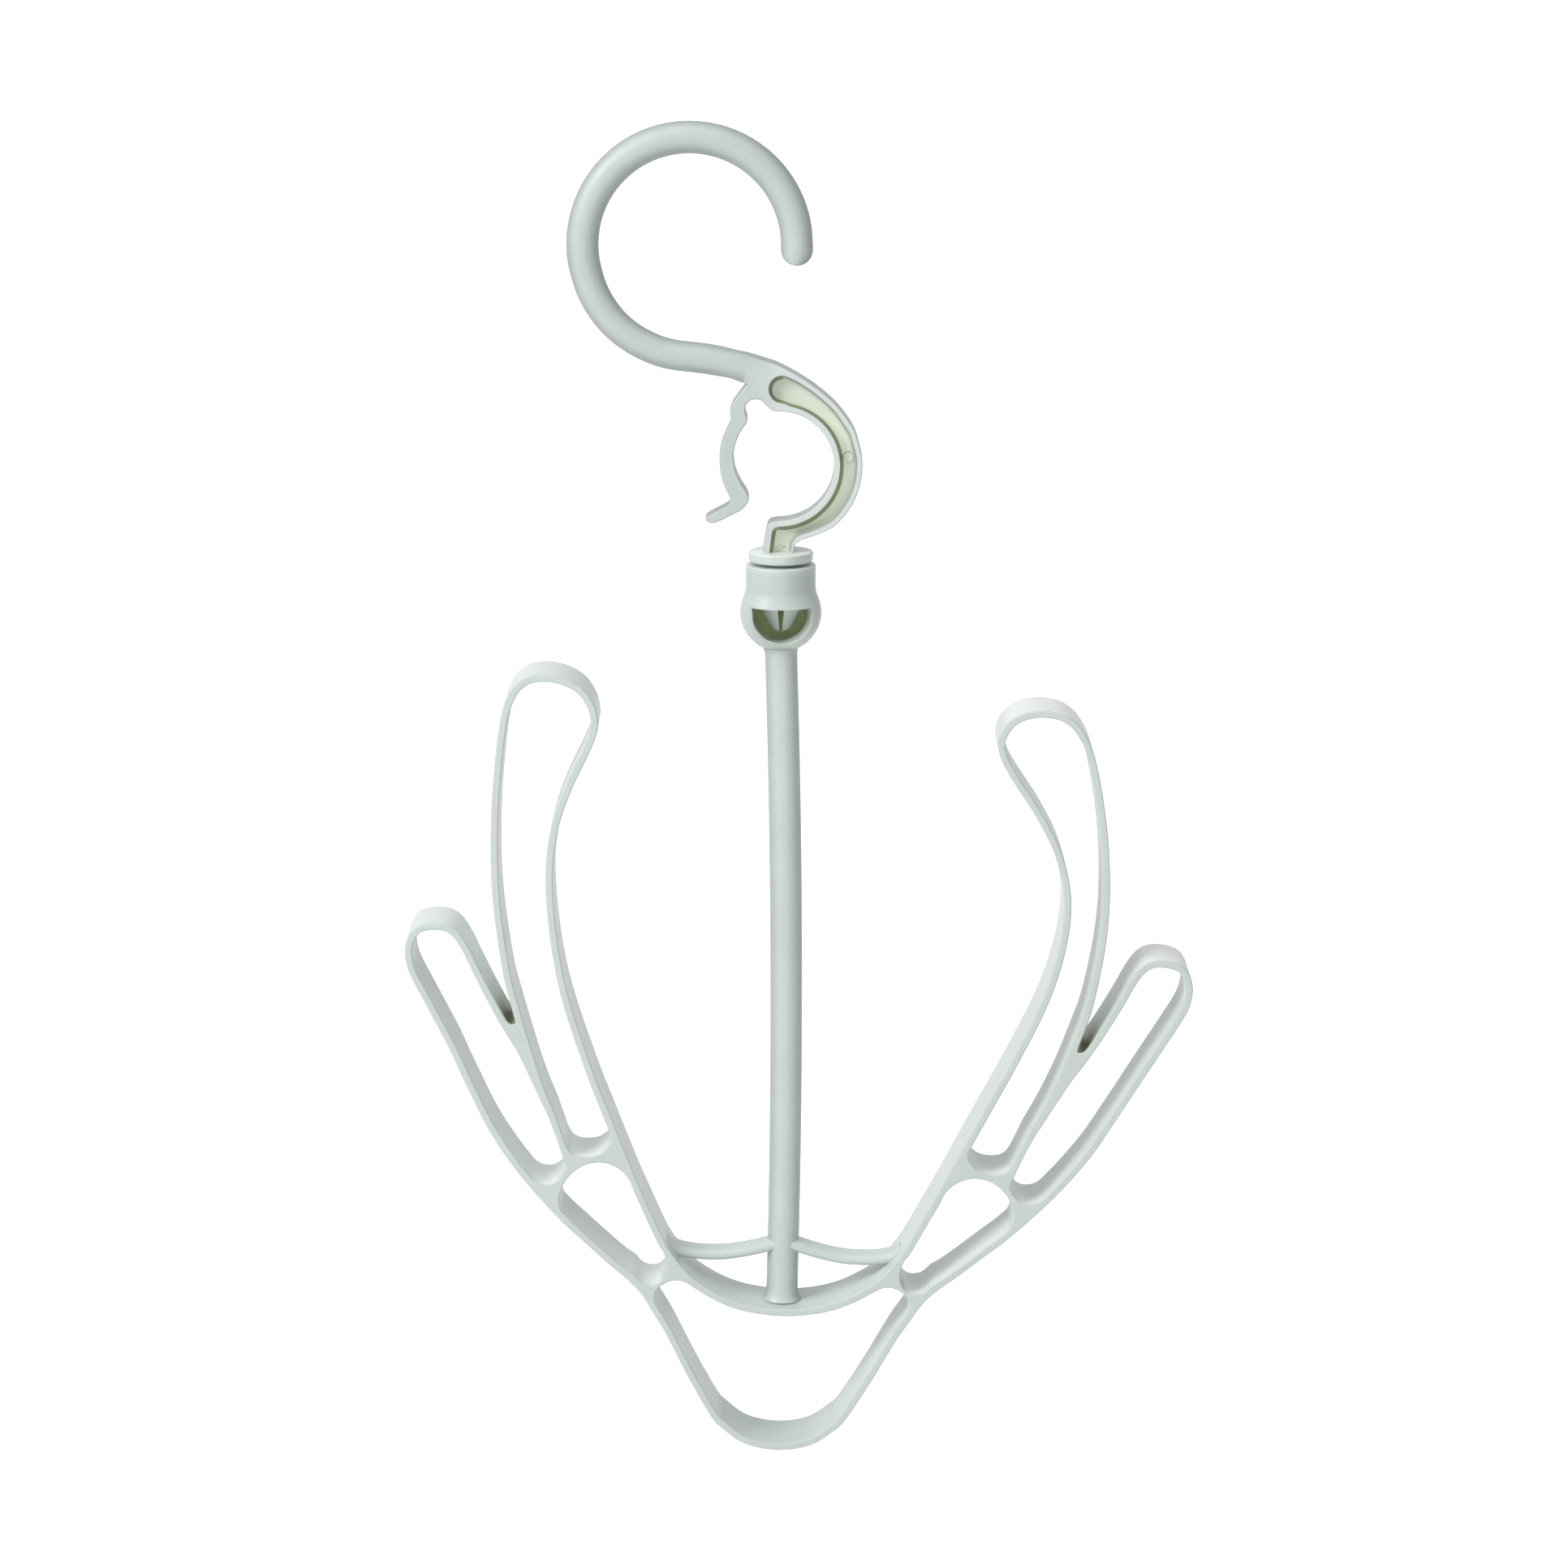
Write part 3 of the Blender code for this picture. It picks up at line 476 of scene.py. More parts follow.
def eased(line, closed, rounds=6, reach=3, sharp=math.radians(24)):
    """The line with its sharp corners rounded off."""
    count = len(line)
    near = set()
    for i in range(count):
        if not closed and not reach < i < count - 1 - reach:
            continue
        a, b, c = line[i - 2], line[i], line[(i + 2) % count]
        before = Vector((b[0] - a[0], b[1] - a[1]))
        after = Vector((c[0] - b[0], c[1] - b[1]))
        if before.angle(after, 0) > sharp:
            near.update((i + k) % count for k in range(-reach, reach + 1))
    points = list(line)
    for _ in range(rounds):
        moved = list(points)
        for i in near:
            a, b, c = points[i - 1], points[i], points[(i + 1) % count]
            moved[i] = ((a[0] + 2 * b[0] + c[0]) / 4, (a[1] + 2 * b[1] + c[1]) / 4)
        points = moved
    return points


def area(line):
    return sum(a[0] * b[1] - b[0] * a[1] for a, b in zip(line, line[1:] + line[:1])) / 2


def loop(line, hole, spacing=SPACING):
    """A closed outline, evenly spaced, with the material on its left."""
    points = eased(resampled(line, spacing, True), True)
    return points if (area(points) > 0) != hole else points[::-1]


# Meshes

def linked(name, data):
    """A new object with this data, in the scene."""
    made = bpy.data.objects.new(name, data)
    bpy.context.scene.collection.objects.link(made)
    return made


def piece_from(name, data):
    """An object with the faces of a bmesh, all turned outwards."""
    bmesh.ops.recalc_face_normals(data, faces=data.faces)
    mesh = bpy.data.meshes.new(name)
    data.to_mesh(mesh)
    data.free()
    return linked(name, mesh)


def smoothed(piece, crease=CREASE):
    """The piece with smooth shading, apart from edges that turn more than the crease."""
    piece.data.shade_smooth()
    piece.data.set_sharp_from_angle(angle=crease)
    return piece


def quarter(steps):
    """Angles from 0 to 90 degrees."""
    return [k * math.pi / 2 / steps for k in range(steps + 1)]


class Shell:
    """A mesh in the making, whose vertices carry their own normals and tones of painted light and
    shade.
    """

    def __init__(self):
        self.points = []
        self.normals = []
        self.recess = []
        self.faces = []

    def row(self, points, normals, recess=None):
        """Add vertices and give their numbers."""
        first = len(self.points)
        self.points += points
        self.normals += normals
        self.recess += recess or [0.0] * len(points)
        return list(range(first, len(self.points)))

    def skin(self, rows, closed):
        """Faces between each row of vertices and the next."""
        for a, b in zip(rows, rows[1:]):
            count = len(a)
            for k in range(count if closed else count - 1):
                n = (k + 1) % count
                self.faces.append((a[k], b[k], b[n], a[n]))

    def cap(self, loops):
        """Triangles between closed lists of vertices that lie in one plane of constant Y."""
        places = [i for one in loops for i in one]
        flat = [Vector((self.points[i][0], self.points[i][2])) for i in places]
        edges = []
        first = 0
        for one in loops:
            edges += [(first + k, first + (k + 1) % len(one)) for k in range(len(one))]
            first += len(one)
        made = geometry.delaunay_2d_cdt(flat, edges, [], 1, 1e-9)
        source = [ids[0] if ids else None for ids in made[3]]
        rims = [(flat[a], flat[b]) for a, b in edges]
        for face in made[2]:
            if any(source[v] is None for v in face):
                continue
            x = sum(made[0][v][0] for v in face) / 3
            z = sum(made[0][v][1] for v in face) / 3
            inside = False
            for p, q in rims:
                if (p[1] > z) != (q[1] > z):
                    edge_x = p[0] + (z - p[1]) * (q[0] - p[0]) / (q[1] - p[1])
                    inside = inside != (x < edge_x)
            if inside:
                self.faces.append(tuple(places[source[v]] for v in face))

    def made(self, name):
        """The finished piece."""
        data = bmesh.new()
        verts = [data.verts.new(p) for p in self.points]
        for face in self.faces:
            corners = [verts[i] for i in face]
            if len(set(corners)) == len(corners) and not data.faces.get(corners):
                data.faces.new(corners)
        piece = piece_from(name, data)
        tone = piece.data.attributes.new("recess", "FLOAT", "POINT")
        tone.data.foreach_set("value", self.recess)
        piece.data.shade_smooth()
        normals = [Vector(n).normalized() for n in self.normals]
        piece.data.normals_split_custom_set_from_vertices(normals)
        return piece


def wall(shell, line, closed, half, edge, middle=1, tone=None, faces_too=True):
    """Rows of vertices from the front face over rounded edges to the back face."""
    side = outward(line, closed)
    tones = [tone(p, n) for p, n in zip(line, side)] if tone else None
    places = [(edge * (1 - math.sin(t)), -half + edge * (1 - math.cos(t)),
               math.sin(t), -math.cos(t)) for t in quarter(EDGE_STEPS)]
    flat = half - edge
    places += [(0.0, -flat + 2 * flat * k / middle, 1.0, 0.0) for k in range(1, middle)]
    places += [(inset, -y, across, -along) for inset, y, across, along in places[EDGE_STEPS::-1]]
    rows = []
    for inset, y, across, along in places:
        points = [(p[0] - inset * n[0], y, p[1] - inset * n[1]) for p, n in zip(line, side)]
        normals = [(across * n[0], along, across * n[1]) for n in side]
        rows.append(shell.row(points, normals, tones if faces_too or inset == 0 else None))
    shell.skin(rows, closed)
    return rows


def dish(shell, line, face, half, floor, drafts, fillets, walls, floors):
    """A blind recess in one face: rounded rim, drafted wall, and a fillet into its floor.

    Each point of the line has its own draft, fillet, and wall and floor tones: painted light and
    shade.
    """
    side = outward(line, True)
    deep = half - POCKET_ROUND - floor
    leans = [math.atan2(d, deep - f) for d, f in zip(drafts, fillets)]
    shapes = list(zip(drafts, fillets))
    rows = []

    def level(places, slopes, tones):
        points = []
        normals = []
        for p, n, (out, y), (across, along) in zip(line, side, places, slopes):
            points.append((p[0] + out * n[0], face * y, p[1] + out * n[1]))
            normals.append((across * n[0], face * along, across * n[1]))
        rows.append(shell.row(points, normals, tones))

    # Painted light: the rim's rounding is painted pale on the thin rims
    for t in quarter(EDGE_STEPS):
        place = (-POCKET_ROUND * (1 - math.sin(t)), half - POCKET_ROUND * (1 - math.cos(t)))
        slope = (math.sin(t), math.cos(t))
        level([place] * len(line), [slope] * len(line), [-rim_painted_light(p) for p in line])
    for t in POCKET_WALL_LEVELS:
        level([(d * t, half - POCKET_ROUND - t * (deep - f)) for d, f in shapes],
              [(math.cos(a), math.sin(a)) for a in leans], walls)
    for k, t in enumerate(quarter(FILLET_STEPS)[1:], 1):
        share = k / FILLET_STEPS
        turns = [a + (math.pi / 2 - a) * share for a in leans]
        level([(d + f * (1 - math.cos(t)), floor + f * (1 - math.sin(t))) for d, f in shapes],
              [(math.cos(a), math.sin(a)) for a in turns],
              [w + (o - w) * share for w, o in zip(walls, floors)])
    shell.skin(rows, True)
    shell.cap([rows[-1]])
    return rows[0]


def bridge(data, a, b):
    """Faces between two rings of vertices, where either may be a single vertex."""
    count = max(len(a), len(b))
    for k in range(count):
        n = (k + 1) % count
        corners = (a[k % len(a)], b[k % len(b)], b[n % len(b)], a[n % len(a)])
        data.faces.new(list(dict.fromkeys(corners)))


def lathe(name, profile, sides=TURN_SIDES):
    """A closed (radius, z) profile turned about the swivel axis."""
    data = bmesh.new()
    rings = []
    for radius, z in profile:
        turns = [2 * math.pi * (k + 0.5) / sides for k in range(sides if radius else 1)]
        places = [(radius * math.cos(t), radius * math.sin(t), z) for t in turns]
        rings.append([data.verts.new(place) for place in places])
    for a, b in zip(rings, rings[1:]):
        bridge(data, a, b)
    return smoothed(piece_from(name, data))


def rounded(corners, steps=5):
    """A (radius, z) profile from corners (radius, z, rounding)."""
    line = []
    for i, (r, z, size) in enumerate(corners):
        if not size or i in (0, len(corners) - 1):
            line.append((r, z))
            continue
        here = Vector((r, z))
        a = (Vector(corners[i - 1][:2]) - here).normalized() * size
        b = (Vector(corners[i + 1][:2]) - here).normalized() * size
        for k in range(steps + 1):
            t = k / steps
            point = here + a * (1 - t) ** 2 + b * t ** 2
            line.append((point.x, point.y))
    return line


def cut(piece, tool):
    """Take the tool's solid away from the piece."""
    modifier = piece.modifiers.new("cut", "BOOLEAN")
    modifier.operation = "DIFFERENCE"
    modifier.solver = "EXACT"
    modifier.object = tool
    bpy.context.view_layer.update()
    whole = piece.evaluated_get(bpy.context.evaluated_depsgraph_get())
    mesh = bpy.data.meshes.new_from_object(whole)
    piece.modifiers.clear()
    piece.data = mesh
    bpy.data.objects.remove(tool, do_unlink=True)


def block(outline, low, high, far=None):
    """An (x, z) outline carried along Y, where it may end in another outline."""
    data = bmesh.new()
    front = [data.verts.new((x, low, z)) for x, z in outline]
    back = [data.verts.new((x, high, z)) for x, z in far or outline]
    data.faces.new(front)
    data.faces.new(back[::-1])
    bridge(data, front, back)
    return piece_from("tool", data)


def tube(name, path, sizes, sides, power=2.0):
    """Sections carried along an (x, z) path, round at power 2 and squarer above it.

    The sizes are (half height, half depth).
    """
    data = bmesh.new()
    rings = []
    for (x, z), n, (up, deep) in zip(path, outward(path, False), sizes):
        ring = []
        for k in range(sides):
            c = math.cos(2 * math.pi * k / sides)
            s = math.sin(2 * math.pi * k / sides)
            u = up * math.copysign(abs(c) ** (2 / power), c)
            v = deep * math.copysign(abs(s) ** (2 / power), s)
            ring.append(data.verts.new((x - u * n[0], v, z - u * n[1])))
        rings.append(ring)
    for a, b in zip(rings, rings[1:]):
        bridge(data, a, b)
    data.faces.new(rings[0])
    data.faces.new(rings[-1][::-1])
    return smoothed(piece_from(name, data), TUBE_CREASE)


def set_recess(piece, rule):
    """Write the recess attribute, which paints light and shade, from a rule on the middle of each
    face.
    """
    tone = piece.data.attributes.new("recess", "FLOAT", "FACE")
    tone.data.foreach_set("value", [rule(face.center) for face in piece.data.polygons])
    return piece


# Plastic

def feed(tree, made, inputs):
    """Give each input of a node its value, or link it to an output."""
    for key, value in inputs.items():
        if isinstance(value, bpy.types.NodeSocket):
            tree.links.new(value, made.inputs[key])
        else:
            made.inputs[key].default_value = value


def node(tree, kind, inputs=None, **settings):
    """A new node with its settings and inputs."""
    made = tree.nodes.new("ShaderNode" + kind)
    for key, value in settings.items():
        setattr(made, key, value)
    feed(tree, made, inputs or {})
    return made


def plastic(name, light, deep, floor_painted_light_and_shade, wall_painted_light_and_shade, rim, shine, glow=0.0):
    """Satin plastic: cloudy flow marks and fine streaks in its colour, a moulded grain.

    The attribute recess paints light and shade: pale painted light at -1, its own colour at 0, the
    floor colour at 0.5 and the wall colour at 1. The colour is scaled by rim where the surface
    turns away, as painted shade.
    """
    material = bpy.data.materials.new(name)
    material.use_nodes = True
    tree = material.node_tree
    place = node(tree, "TexCoord").outputs["Object"]

    def noise(scale, detail, roughness):
        inputs = {"Vector": place, "Scale": scale, "Detail": detail, "Roughness": roughness}
        return node(tree, "TexNoise", inputs).outputs["Fac"]

    def ranged(value, low, high, least=0.0, most=1.0):
        inputs = {"Value": value, "From Min": low, "From Max": high,
                  "To Min": least, "To Max": most}
        return node(tree, "MapRange", inputs).outputs["Result"]

    def mixed(amount, first, second):
        inputs = {"Factor": amount, "A": first, "B": (*second, 1.0)}
        return node(tree, "Mix", inputs, data_type="RGBA").outputs["Result"]

    def times(colour, amount):
        inputs = {0: colour, "Scale": amount}
        return node(tree, "VectorMath", inputs, operation="SCALE").outputs["Vector"]

    clouds = noise(70.0, 3.0, 0.5)
    streaks = noise(420.0, 4.0, 0.6)
    grain = noise(5200.0, 2.0, 0.5)
    recess = node(tree, "Attribute", attribute_name="recess").outputs["Fac"]
    facing = node(tree, "LayerWeight", {"Blend": 0.5}).outputs["Facing"]
    colour = mixed(ranged(clouds, 0.35, 0.65), (*light, 1.0), deep)
    colour = times(colour, ranged(streaks, 0.0, 1.0, 0.97, 1.03))
    # Painted light and shade: the recess attribute mixes in the floor, wall and pale colours
    colour = mixed(ranged(recess, 0.0, 0.5), colour, floor_painted_light_and_shade)
    colour = mixed(ranged(recess, 0.5, 1.0), colour, wall_painted_light_and_shade)
    colour = mixed(ranged(recess, 0.0, -1.0), colour, PALE_PAINTED_LIGHT)
    bump = node(tree, "Bump", {"Strength": 0.05, "Distance": 0.00002, "Height": grain})
    # Painted shade: the base colour is scaled by rim where the surface turns away
    feed(tree, tree.nodes["Principled BSDF"], {
        "Base Color": times(colour, ranged(facing, 0.10, 0.85, 1.0, rim)),
        "Roughness": ranged(streaks, 0.0, 1.0, 0.28, 0.40),
        "Normal": bump.outputs["Normal"],
        "Metallic": 0.0,
        "IOR": 1.49,
        "Specular IOR Level": shine,
        "Subsurface Weight": glow,
        "Subsurface Scale": 0.0025,
        "Subsurface Radius": (1.0, 0.95, 0.75),
    })
    return material


# One sage plastic in copies: the frame's is lighter, painted light for the light that passes
# through its thin strips; the hook's is a little darker
SAGE = (0.640, 0.715, 0.690)
SAGE_DEEP = (0.610, 0.690, 0.655)
HOOK_SAGE = (0.612, 0.688, 0.668)
HOOK_DEEP = (0.584, 0.663, 0.634)
FRAME_SAGE = (0.672, 0.747, 0.708)
FRAME_DEEP = (0.642, 0.717, 0.673)
# Painted light: the pale colour of thin webs, fingertip tops, pocket rims and the flange's top
PALE_PAINTED_LIGHT = (0.900, 0.940, 0.915)
# Painted shade: the dark colour deep in the frame's notches and on the sides of its pin marks
NOTCH_PAINTED_SHADE = (0.300, 0.330, 0.200)
# Painted light: the light yellow-green of the pocket's floor, soft walls and boss
POCKET_FLOOR_PAINTED_LIGHT = (0.960, 0.990, 0.845)
# Painted shade: the dark olive of the pocket's sharp walls
POCKET_WALL_PAINTED_SHADE = (0.420, 0.470, 0.250)
# Painted light: a lighter yellow-olive inside the socket's shaded cavity
CAVITY_PAINTED_LIGHT = (0.760, 0.810, 0.610)
# Painted shade: the value after the wall colour, rim, scales the colour down where the surface
# turns away, most on the hook and not at all on the frame
hook_plastic = plastic("hook_plastic", HOOK_SAGE, HOOK_DEEP, POCKET_FLOOR_PAINTED_LIGHT, POCKET_WALL_PAINTED_SHADE, 0.52, 0.30)
frame_plastic = plastic("frame_plastic", FRAME_SAGE, FRAME_DEEP, NOTCH_PAINTED_SHADE, NOTCH_PAINTED_SHADE, 1.0, 0.45)
stem_plastic = plastic("stem_plastic", SAGE, SAGE_DEEP, CAVITY_PAINTED_LIGHT, CAVITY_PAINTED_LIGHT, 0.62, 0.40)
socket_plastic = plastic("socket_plastic", SAGE, SAGE_DEEP, CAVITY_PAINTED_LIGHT, CAVITY_PAINTED_LIGHT, 0.95, 0.40, 1.0)


def dress(piece, material, body, slot, *nodes):
    """Give a piece its plastic, its body and the nodes that it stands for, whose CAD parts are
    hidden. The slot is not used.
    """
    piece.data.materials.clear()
    piece.data.materials.append(material)
    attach(piece, body)
    if nodes:
        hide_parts(*nodes)


# Lattice frame: one outline with seven openings

def framed(shares):
    return scaled(shares, (0, 0), HALF_SPAN, RISE)


def both_sides(middle):
    """Both sides of a strip, to the left and to the right of its middle line."""
    return aside(middle, STRIP / 2), aside(middle, -STRIP / 2)


def half_frame(side):
    """The outer edge, the openings and the notch of one side, before they are settled."""
    strand = swayed(framed(STRAND_SHARES), side)
    strand_outer, strand_inner = both_sides(
        curve(framed(BOW_SHARES) + strand + framed(LONG_FINGER_SHARES)))
    loop_inner, loop_outer = both_sides(curve(framed(LOOP_SHARES + SHORT_FINGER_SHARES)))
    edge, notch = joined(strand_outer, loop_outer[::-1], NOTCH_WIDTH)
    long_slot = from_level(strand_inner, SLOT_LOW_SHARE * RISE)
    long_slot += curve(framed(LONG_SLOT_END_SHARES))[::-1]
    short_slot = from_level(loop_inner, SHORT_SLOT_LOW_SHARE * RISE)
    short_slot += curve(framed(SHORT_SLOT_END_SHARES))
    low = curve(framed(TEARDROP_LOW_SHARES))
    top = curve(framed(TEARDROP_TOP_SHARES))
    left = first_part(from_level(strand_inner, low[-1][1]), top[-1][1])
    right = first_part(from_level(loop_inner, low[0][1]), top[0][1])
    teardrop = low + left[1:-1] + top[::-1] + right[-2:0:-1]
    arch = curve(framed(ARCH_SHARES))
    inside = first_part(loop_inner, arch[0][1])[:-1]
    end = arch[-1]
    under = [p for p in strand_inner[:len(strand_inner) // 2] if p[0] < end[0] and p[1] < end[1]]
    return edge, inside + arch + under[::-1], [long_slot, short_slot, teardrop], notch


def lattice():
    """The frame in one mesh: both halves' outer edge, and the openings in it."""
    edges = {}
    holes = {}
    openings = []
    notches = []
    for side in (1, -1):
        edges[side], holes[side], own, notch = half_frame(side)
        notches += settled([notch], side)
        openings += [settled(one, side) for one in own]
    outer = settled(edges[1], 1)[:-1] + settled(edges[-1], -1)[:-1]
    middle = settled(holes[1], 1)[:-1] + settled(holes[-1], -1)[:-1]

    def under_web(point, normal):
        """Painted light: the up-facing walls at the foot of the openings, whose thin webs let light
        through, are painted pale.
        """
        return -part_way(normal[1], *WEB_SLOPES)

    def outside(point, normal):
        """Painted shade deep in the notches, and painted light on the up-facing tops of the thin
        fingertips.
        """
        near = min(distance(point, place) for place in notches)
        dark = part_way(near, NOTCH_LIGHT_FROM, NOTCH_DARK_TO)
        if dark or point[1] < TIPS_ABOVE:
            return dark
        return under_web(point, normal) * (1.0 if point[0] > 0 else LEFT_TIP_SHARE)

    shell = Shell()
    rings = []
    outlines = [(outer, False, outside)]
    outlines += [(one, True, under_web) for one in openings]
    outlines += [(middle, True, None)]
    for line, hole, tone in outlines:
        rings.append(wall(shell, loop(line, hole), True, FRAME_DEPTH / 2, FRAME_EDGE,
                          tone=tone, faces_too=False))
    shell.cap([rows[0] for rows in rings])
    shell.cap([rows[-1] for rows in rings])
    return shell.made("lattice_frame")


def brace(name, side):
    """One of the two short bars between the strands and the stem."""
    path = resampled(settled(curve(framed(BRACE_SHARES)), side), PATH_SPACING, False)
    sizes = [(BRACE_HEIGHT / 2, BRACE_DEPTH / 2)] * len(path)
    return tube(name, path, sizes, BRACE_SIDES, BRACE_POWER)


def stem():
    """The round stem, a little bowed, with a flare where it leaves the socket and the bow."""
    top = BALL_Z - BALL_RADIUS * STEM_TOP_SHARE
    foot = FRAME_FOOT[1] + STEM_LIFT
    path = []
    sizes = []
    for k in range(STEM_STEPS + 1):
        t = k / STEM_STEPS
        z = top + t * (foot - top)
        path.append((STEM_SHIFT * t + 4 * STEM_BOW * t * (1 - t), z))
        low_flare = FOOT_FLARE * math.exp(-max(z - foot - FOOT_FLARE_FROM, 0) / FOOT_FLARE_HEIGHT)
        below = BALL_Z - BALL_RADIUS * TOP_FLARE_SHARE - z
        radius = STEM_RADIUS + low_flare + TOP_FLARE * math.exp(-max(below, 0) / TOP_FLARE_HEIGHT)
        sizes.append((radius, radius))
    return tube("stem_rod", path, sizes, STEM_SIDES)


def window_outline(half, deep, middle):
    """A half round under a straight edge."""
    bend = arc((0, 0), 1, math.pi, 2 * math.pi, WINDOW_STEPS)
    low = [(half * x, BALL_Z + deep * z) for x, z in bend]
    top = [(half - 2 * half * k / WINDOW_TOP_STEPS, BALL_Z + WINDOW_RISE)
           for k in range(WINDOW_TOP_STEPS + 1)]
    return [(middle + x, z) for x, z in low + top]


def socket():
    """Domed swivel socket with its window, which is cut at a slant."""
    bore = PIN_RADIUS + CLEARANCE
    neck = SOCKET_RADIUS - SOCKET_TAPER
    rim = rounded([(bore, SOCKET_TOP, 0), (neck, SOCKET_TOP, SOCKET_ROUND),
                   (neck, SOCKET_TOP - SOCKET_RIM, 0)])
    shoulder = curve([(SOCKET_RADIUS + side, SOCKET_TOP - drop) for side, drop in SHOULDER])
    low = math.acos((BALL_Z - shoulder[-1][1]) / BALL_RADIUS)
    turns = [low * k / DOME_STEPS for k in range(DOME_STEPS)]
    dome = [(BALL_RADIUS * math.sin(t), BALL_Z - BALL_RADIUS * math.cos(t)) for t in turns]
    body = lathe("swivel_socket", [(0.0, SOCKET_TOP)] + rim + shoulder + dome[::-1])

    turns = quarter(CAVITY_STEPS)[:-1]
    bowl = [(CAVITY_RADIUS * math.cos(t), BALL_Z - CAVITY_RADIUS * math.sin(t)) for t in turns]
    ceiling = BALL_Z + WINDOW_RISE
    above = SOCKET_TOP + OVERRUN
    hole = [(0.0, BALL_Z - CAVITY_RADIUS)] + bowl[::-1] + [
        (CAVITY_RADIUS, ceiling), (CAVITY_NECK_RADIUS, ceiling + CEILING_RISE),
        (CAVITY_NECK_RADIUS, LEDGE_Z), (bore, LEDGE_Z), (bore, above), (0.0, above)]
    # Two sides fewer than the body has, so that no edges of the two coincide
    cut(body, lathe("hole", hole, TURN_SIDES - 2))

    deep = WINDOW_WIDTH / 2
    half = deep + WINDOW_SPREAD
    edge_y = -math.sqrt(BALL_RADIUS ** 2 - half ** 2)
    near, far = [window_outline(half, deep, WINDOW_SHIFT + WINDOW_SLANT * (edge_y - y))
                 for y in WINDOW_ENDS]
    cut(body, block(near, *WINDOW_ENDS, far))

    def rule(place):
        """1 inside the cavity, where the cavity colour paints bounce light into its shade."""
        away = math.hypot(math.hypot(place.x, place.y), place.z - BALL_Z)
        return 1.0 if away < CAVITY_RADIUS + TONE_REACH and place.z < LEDGE_Z + TONE_REACH else 0.0

    return set_recess(smoothed(body), rule)


# Hook moulding

def bored(shares):
    return scaled(shares, BORE_CENTRE, BORE_RADIUS, BORE_RADIUS)


def channel_edge():
    """The plate's outer edge from the notch, round the bore and the neck, to the root's top."""
    ring = arc(RING_CENTRE, RING_RADIUS, RING_TOP_TURN, RING_LOW_TURN, RING_STEPS)
    top = curve(scaled(CHANNEL_TOP_SHARES, RING_CENTRE, RING_RADIUS, RING_RADIUS) + [ring[0]])
    neck = [(NECK_RIGHT, NECK_TOP), (NECK_RIGHT, NECK_FOOT), (NECK_LEFT, NECK_FOOT),
            (NECK_LEFT, FLANGE_TOP), NECK_CORNER]
    bore = arc(BORE_CENTRE, BORE_RADIUS, -math.pi / 2, BORE_TOP_TURN, BORE_STEPS)
    notch = curve(bored(NOTCH_SHARES))
    feet = curve([ring[-1]] + scaled(RING_FOOT_SHARES, RING_CENTRE, RING_RADIUS, RING_RADIUS))
    forward = top + ring[1:] + feet[1:] + neck + bore + notch[::-1]
    return eased(resampled(forward[::-1], SPACING, False), False)


def evened(values, rounds=16):
    """Values round a closed line, smoothed."""
    for _ in range(rounds):
        values = [(values[i - 1] + 2 * values[i] + values[(i + 1) % len(values)]) / 4
                  for i in range(len(values))]
    return values


def pocket_line():
    """The outline of the recess inside the rims, as a closed hole."""
    inside = RING_RADIUS - OUTER_RIM
    ring = arc(RING_CENTRE, inside, RING_TOP_TURN, RING_LOW_TURN, RING_STEPS)
    ring += curve([ring[-1]] + scaled(RING_FOOT_SHARES[:2], RING_CENTRE, inside, inside))[1:]
    top = curve(scaled(CHANNEL_TOP_SHARES, RING_CENTRE, RING_RADIUS, RING_RADIUS))
    start = POCKET_END_CENTRE[0] + POCKET_END_RADIUS * 0.9
    upper = [p for p in aside(top, -OUTER_RIM) if p[0] > start]
    right = NECK_RIGHT - NECK_RIM
    neck = [(right, NECK_TOP), (right, NECK_FOOT), (NECK_LEFT + INNER_RIM * 1.1, NECK_FOOT),
            (NECK_CORNER[0] + INNER_RIM * 0.75, NECK_CORNER[1] - INNER_RIM)]
    inner = arc(BORE_CENTRE, BORE_RADIUS + INNER_RIM, -math.pi / 2, POCKET_TOP_TURN, BORE_STEPS)
    end = arc(POCKET_END_CENTRE, POCKET_END_RADIUS, *POCKET_END_TURNS, POCKET_END_STEPS)
    line = eased(resampled(end + upper + ring + neck + inner, SPACING, True), True, 4, 2)
    return line[::-1] if area(line) > 0 else line


def pocket():
    """The recess's outline, with the drafts, fillets, and the wall and floor tones of painted light
    and shade along it.
    """
    line = pocket_line()
    drafts, fillets, walls, floors = [], [], [], []
    for (x, z), n in zip(line, outward(line, True)):
        by_bore = distance((x, z), BORE_CENTRE) - BORE_RADIUS < SHARP_BY_BORE
        at_end = z > 0 and x < SHARP_END_LEFT_OF
        sharp = by_bore or at_end or x < SHARP_LEFT_OF
        drafts.append(SHARP_DRAFT - SHARP_DRAFT_TURN * n[1] if sharp else SOFT_DRAFT)
        fillets.append(SHARP_FILLET if sharp else SOFT_FILLET)
        # Painted shade on the sharp walls; painted light on the soft walls and on the floor
        walls.append(1.0 if sharp else SOFT_WALL_TONE)
        floors.append(LOW_FLOOR_TONE if z < 0 else HIGH_FLOOR_TONE)
    return line, evened(drafts, 8), evened(fillets), evened(walls, 6), evened(floors)


def rim_painted_light(point):
    """Painted light: how pale the thin rims of the pocket are painted; the solid root beside it
    isn't.
    """
    return RIM_PAINTED_LIGHT * part_way(point[0], *RIM_PAINTED_LIGHT_BETWEEN)


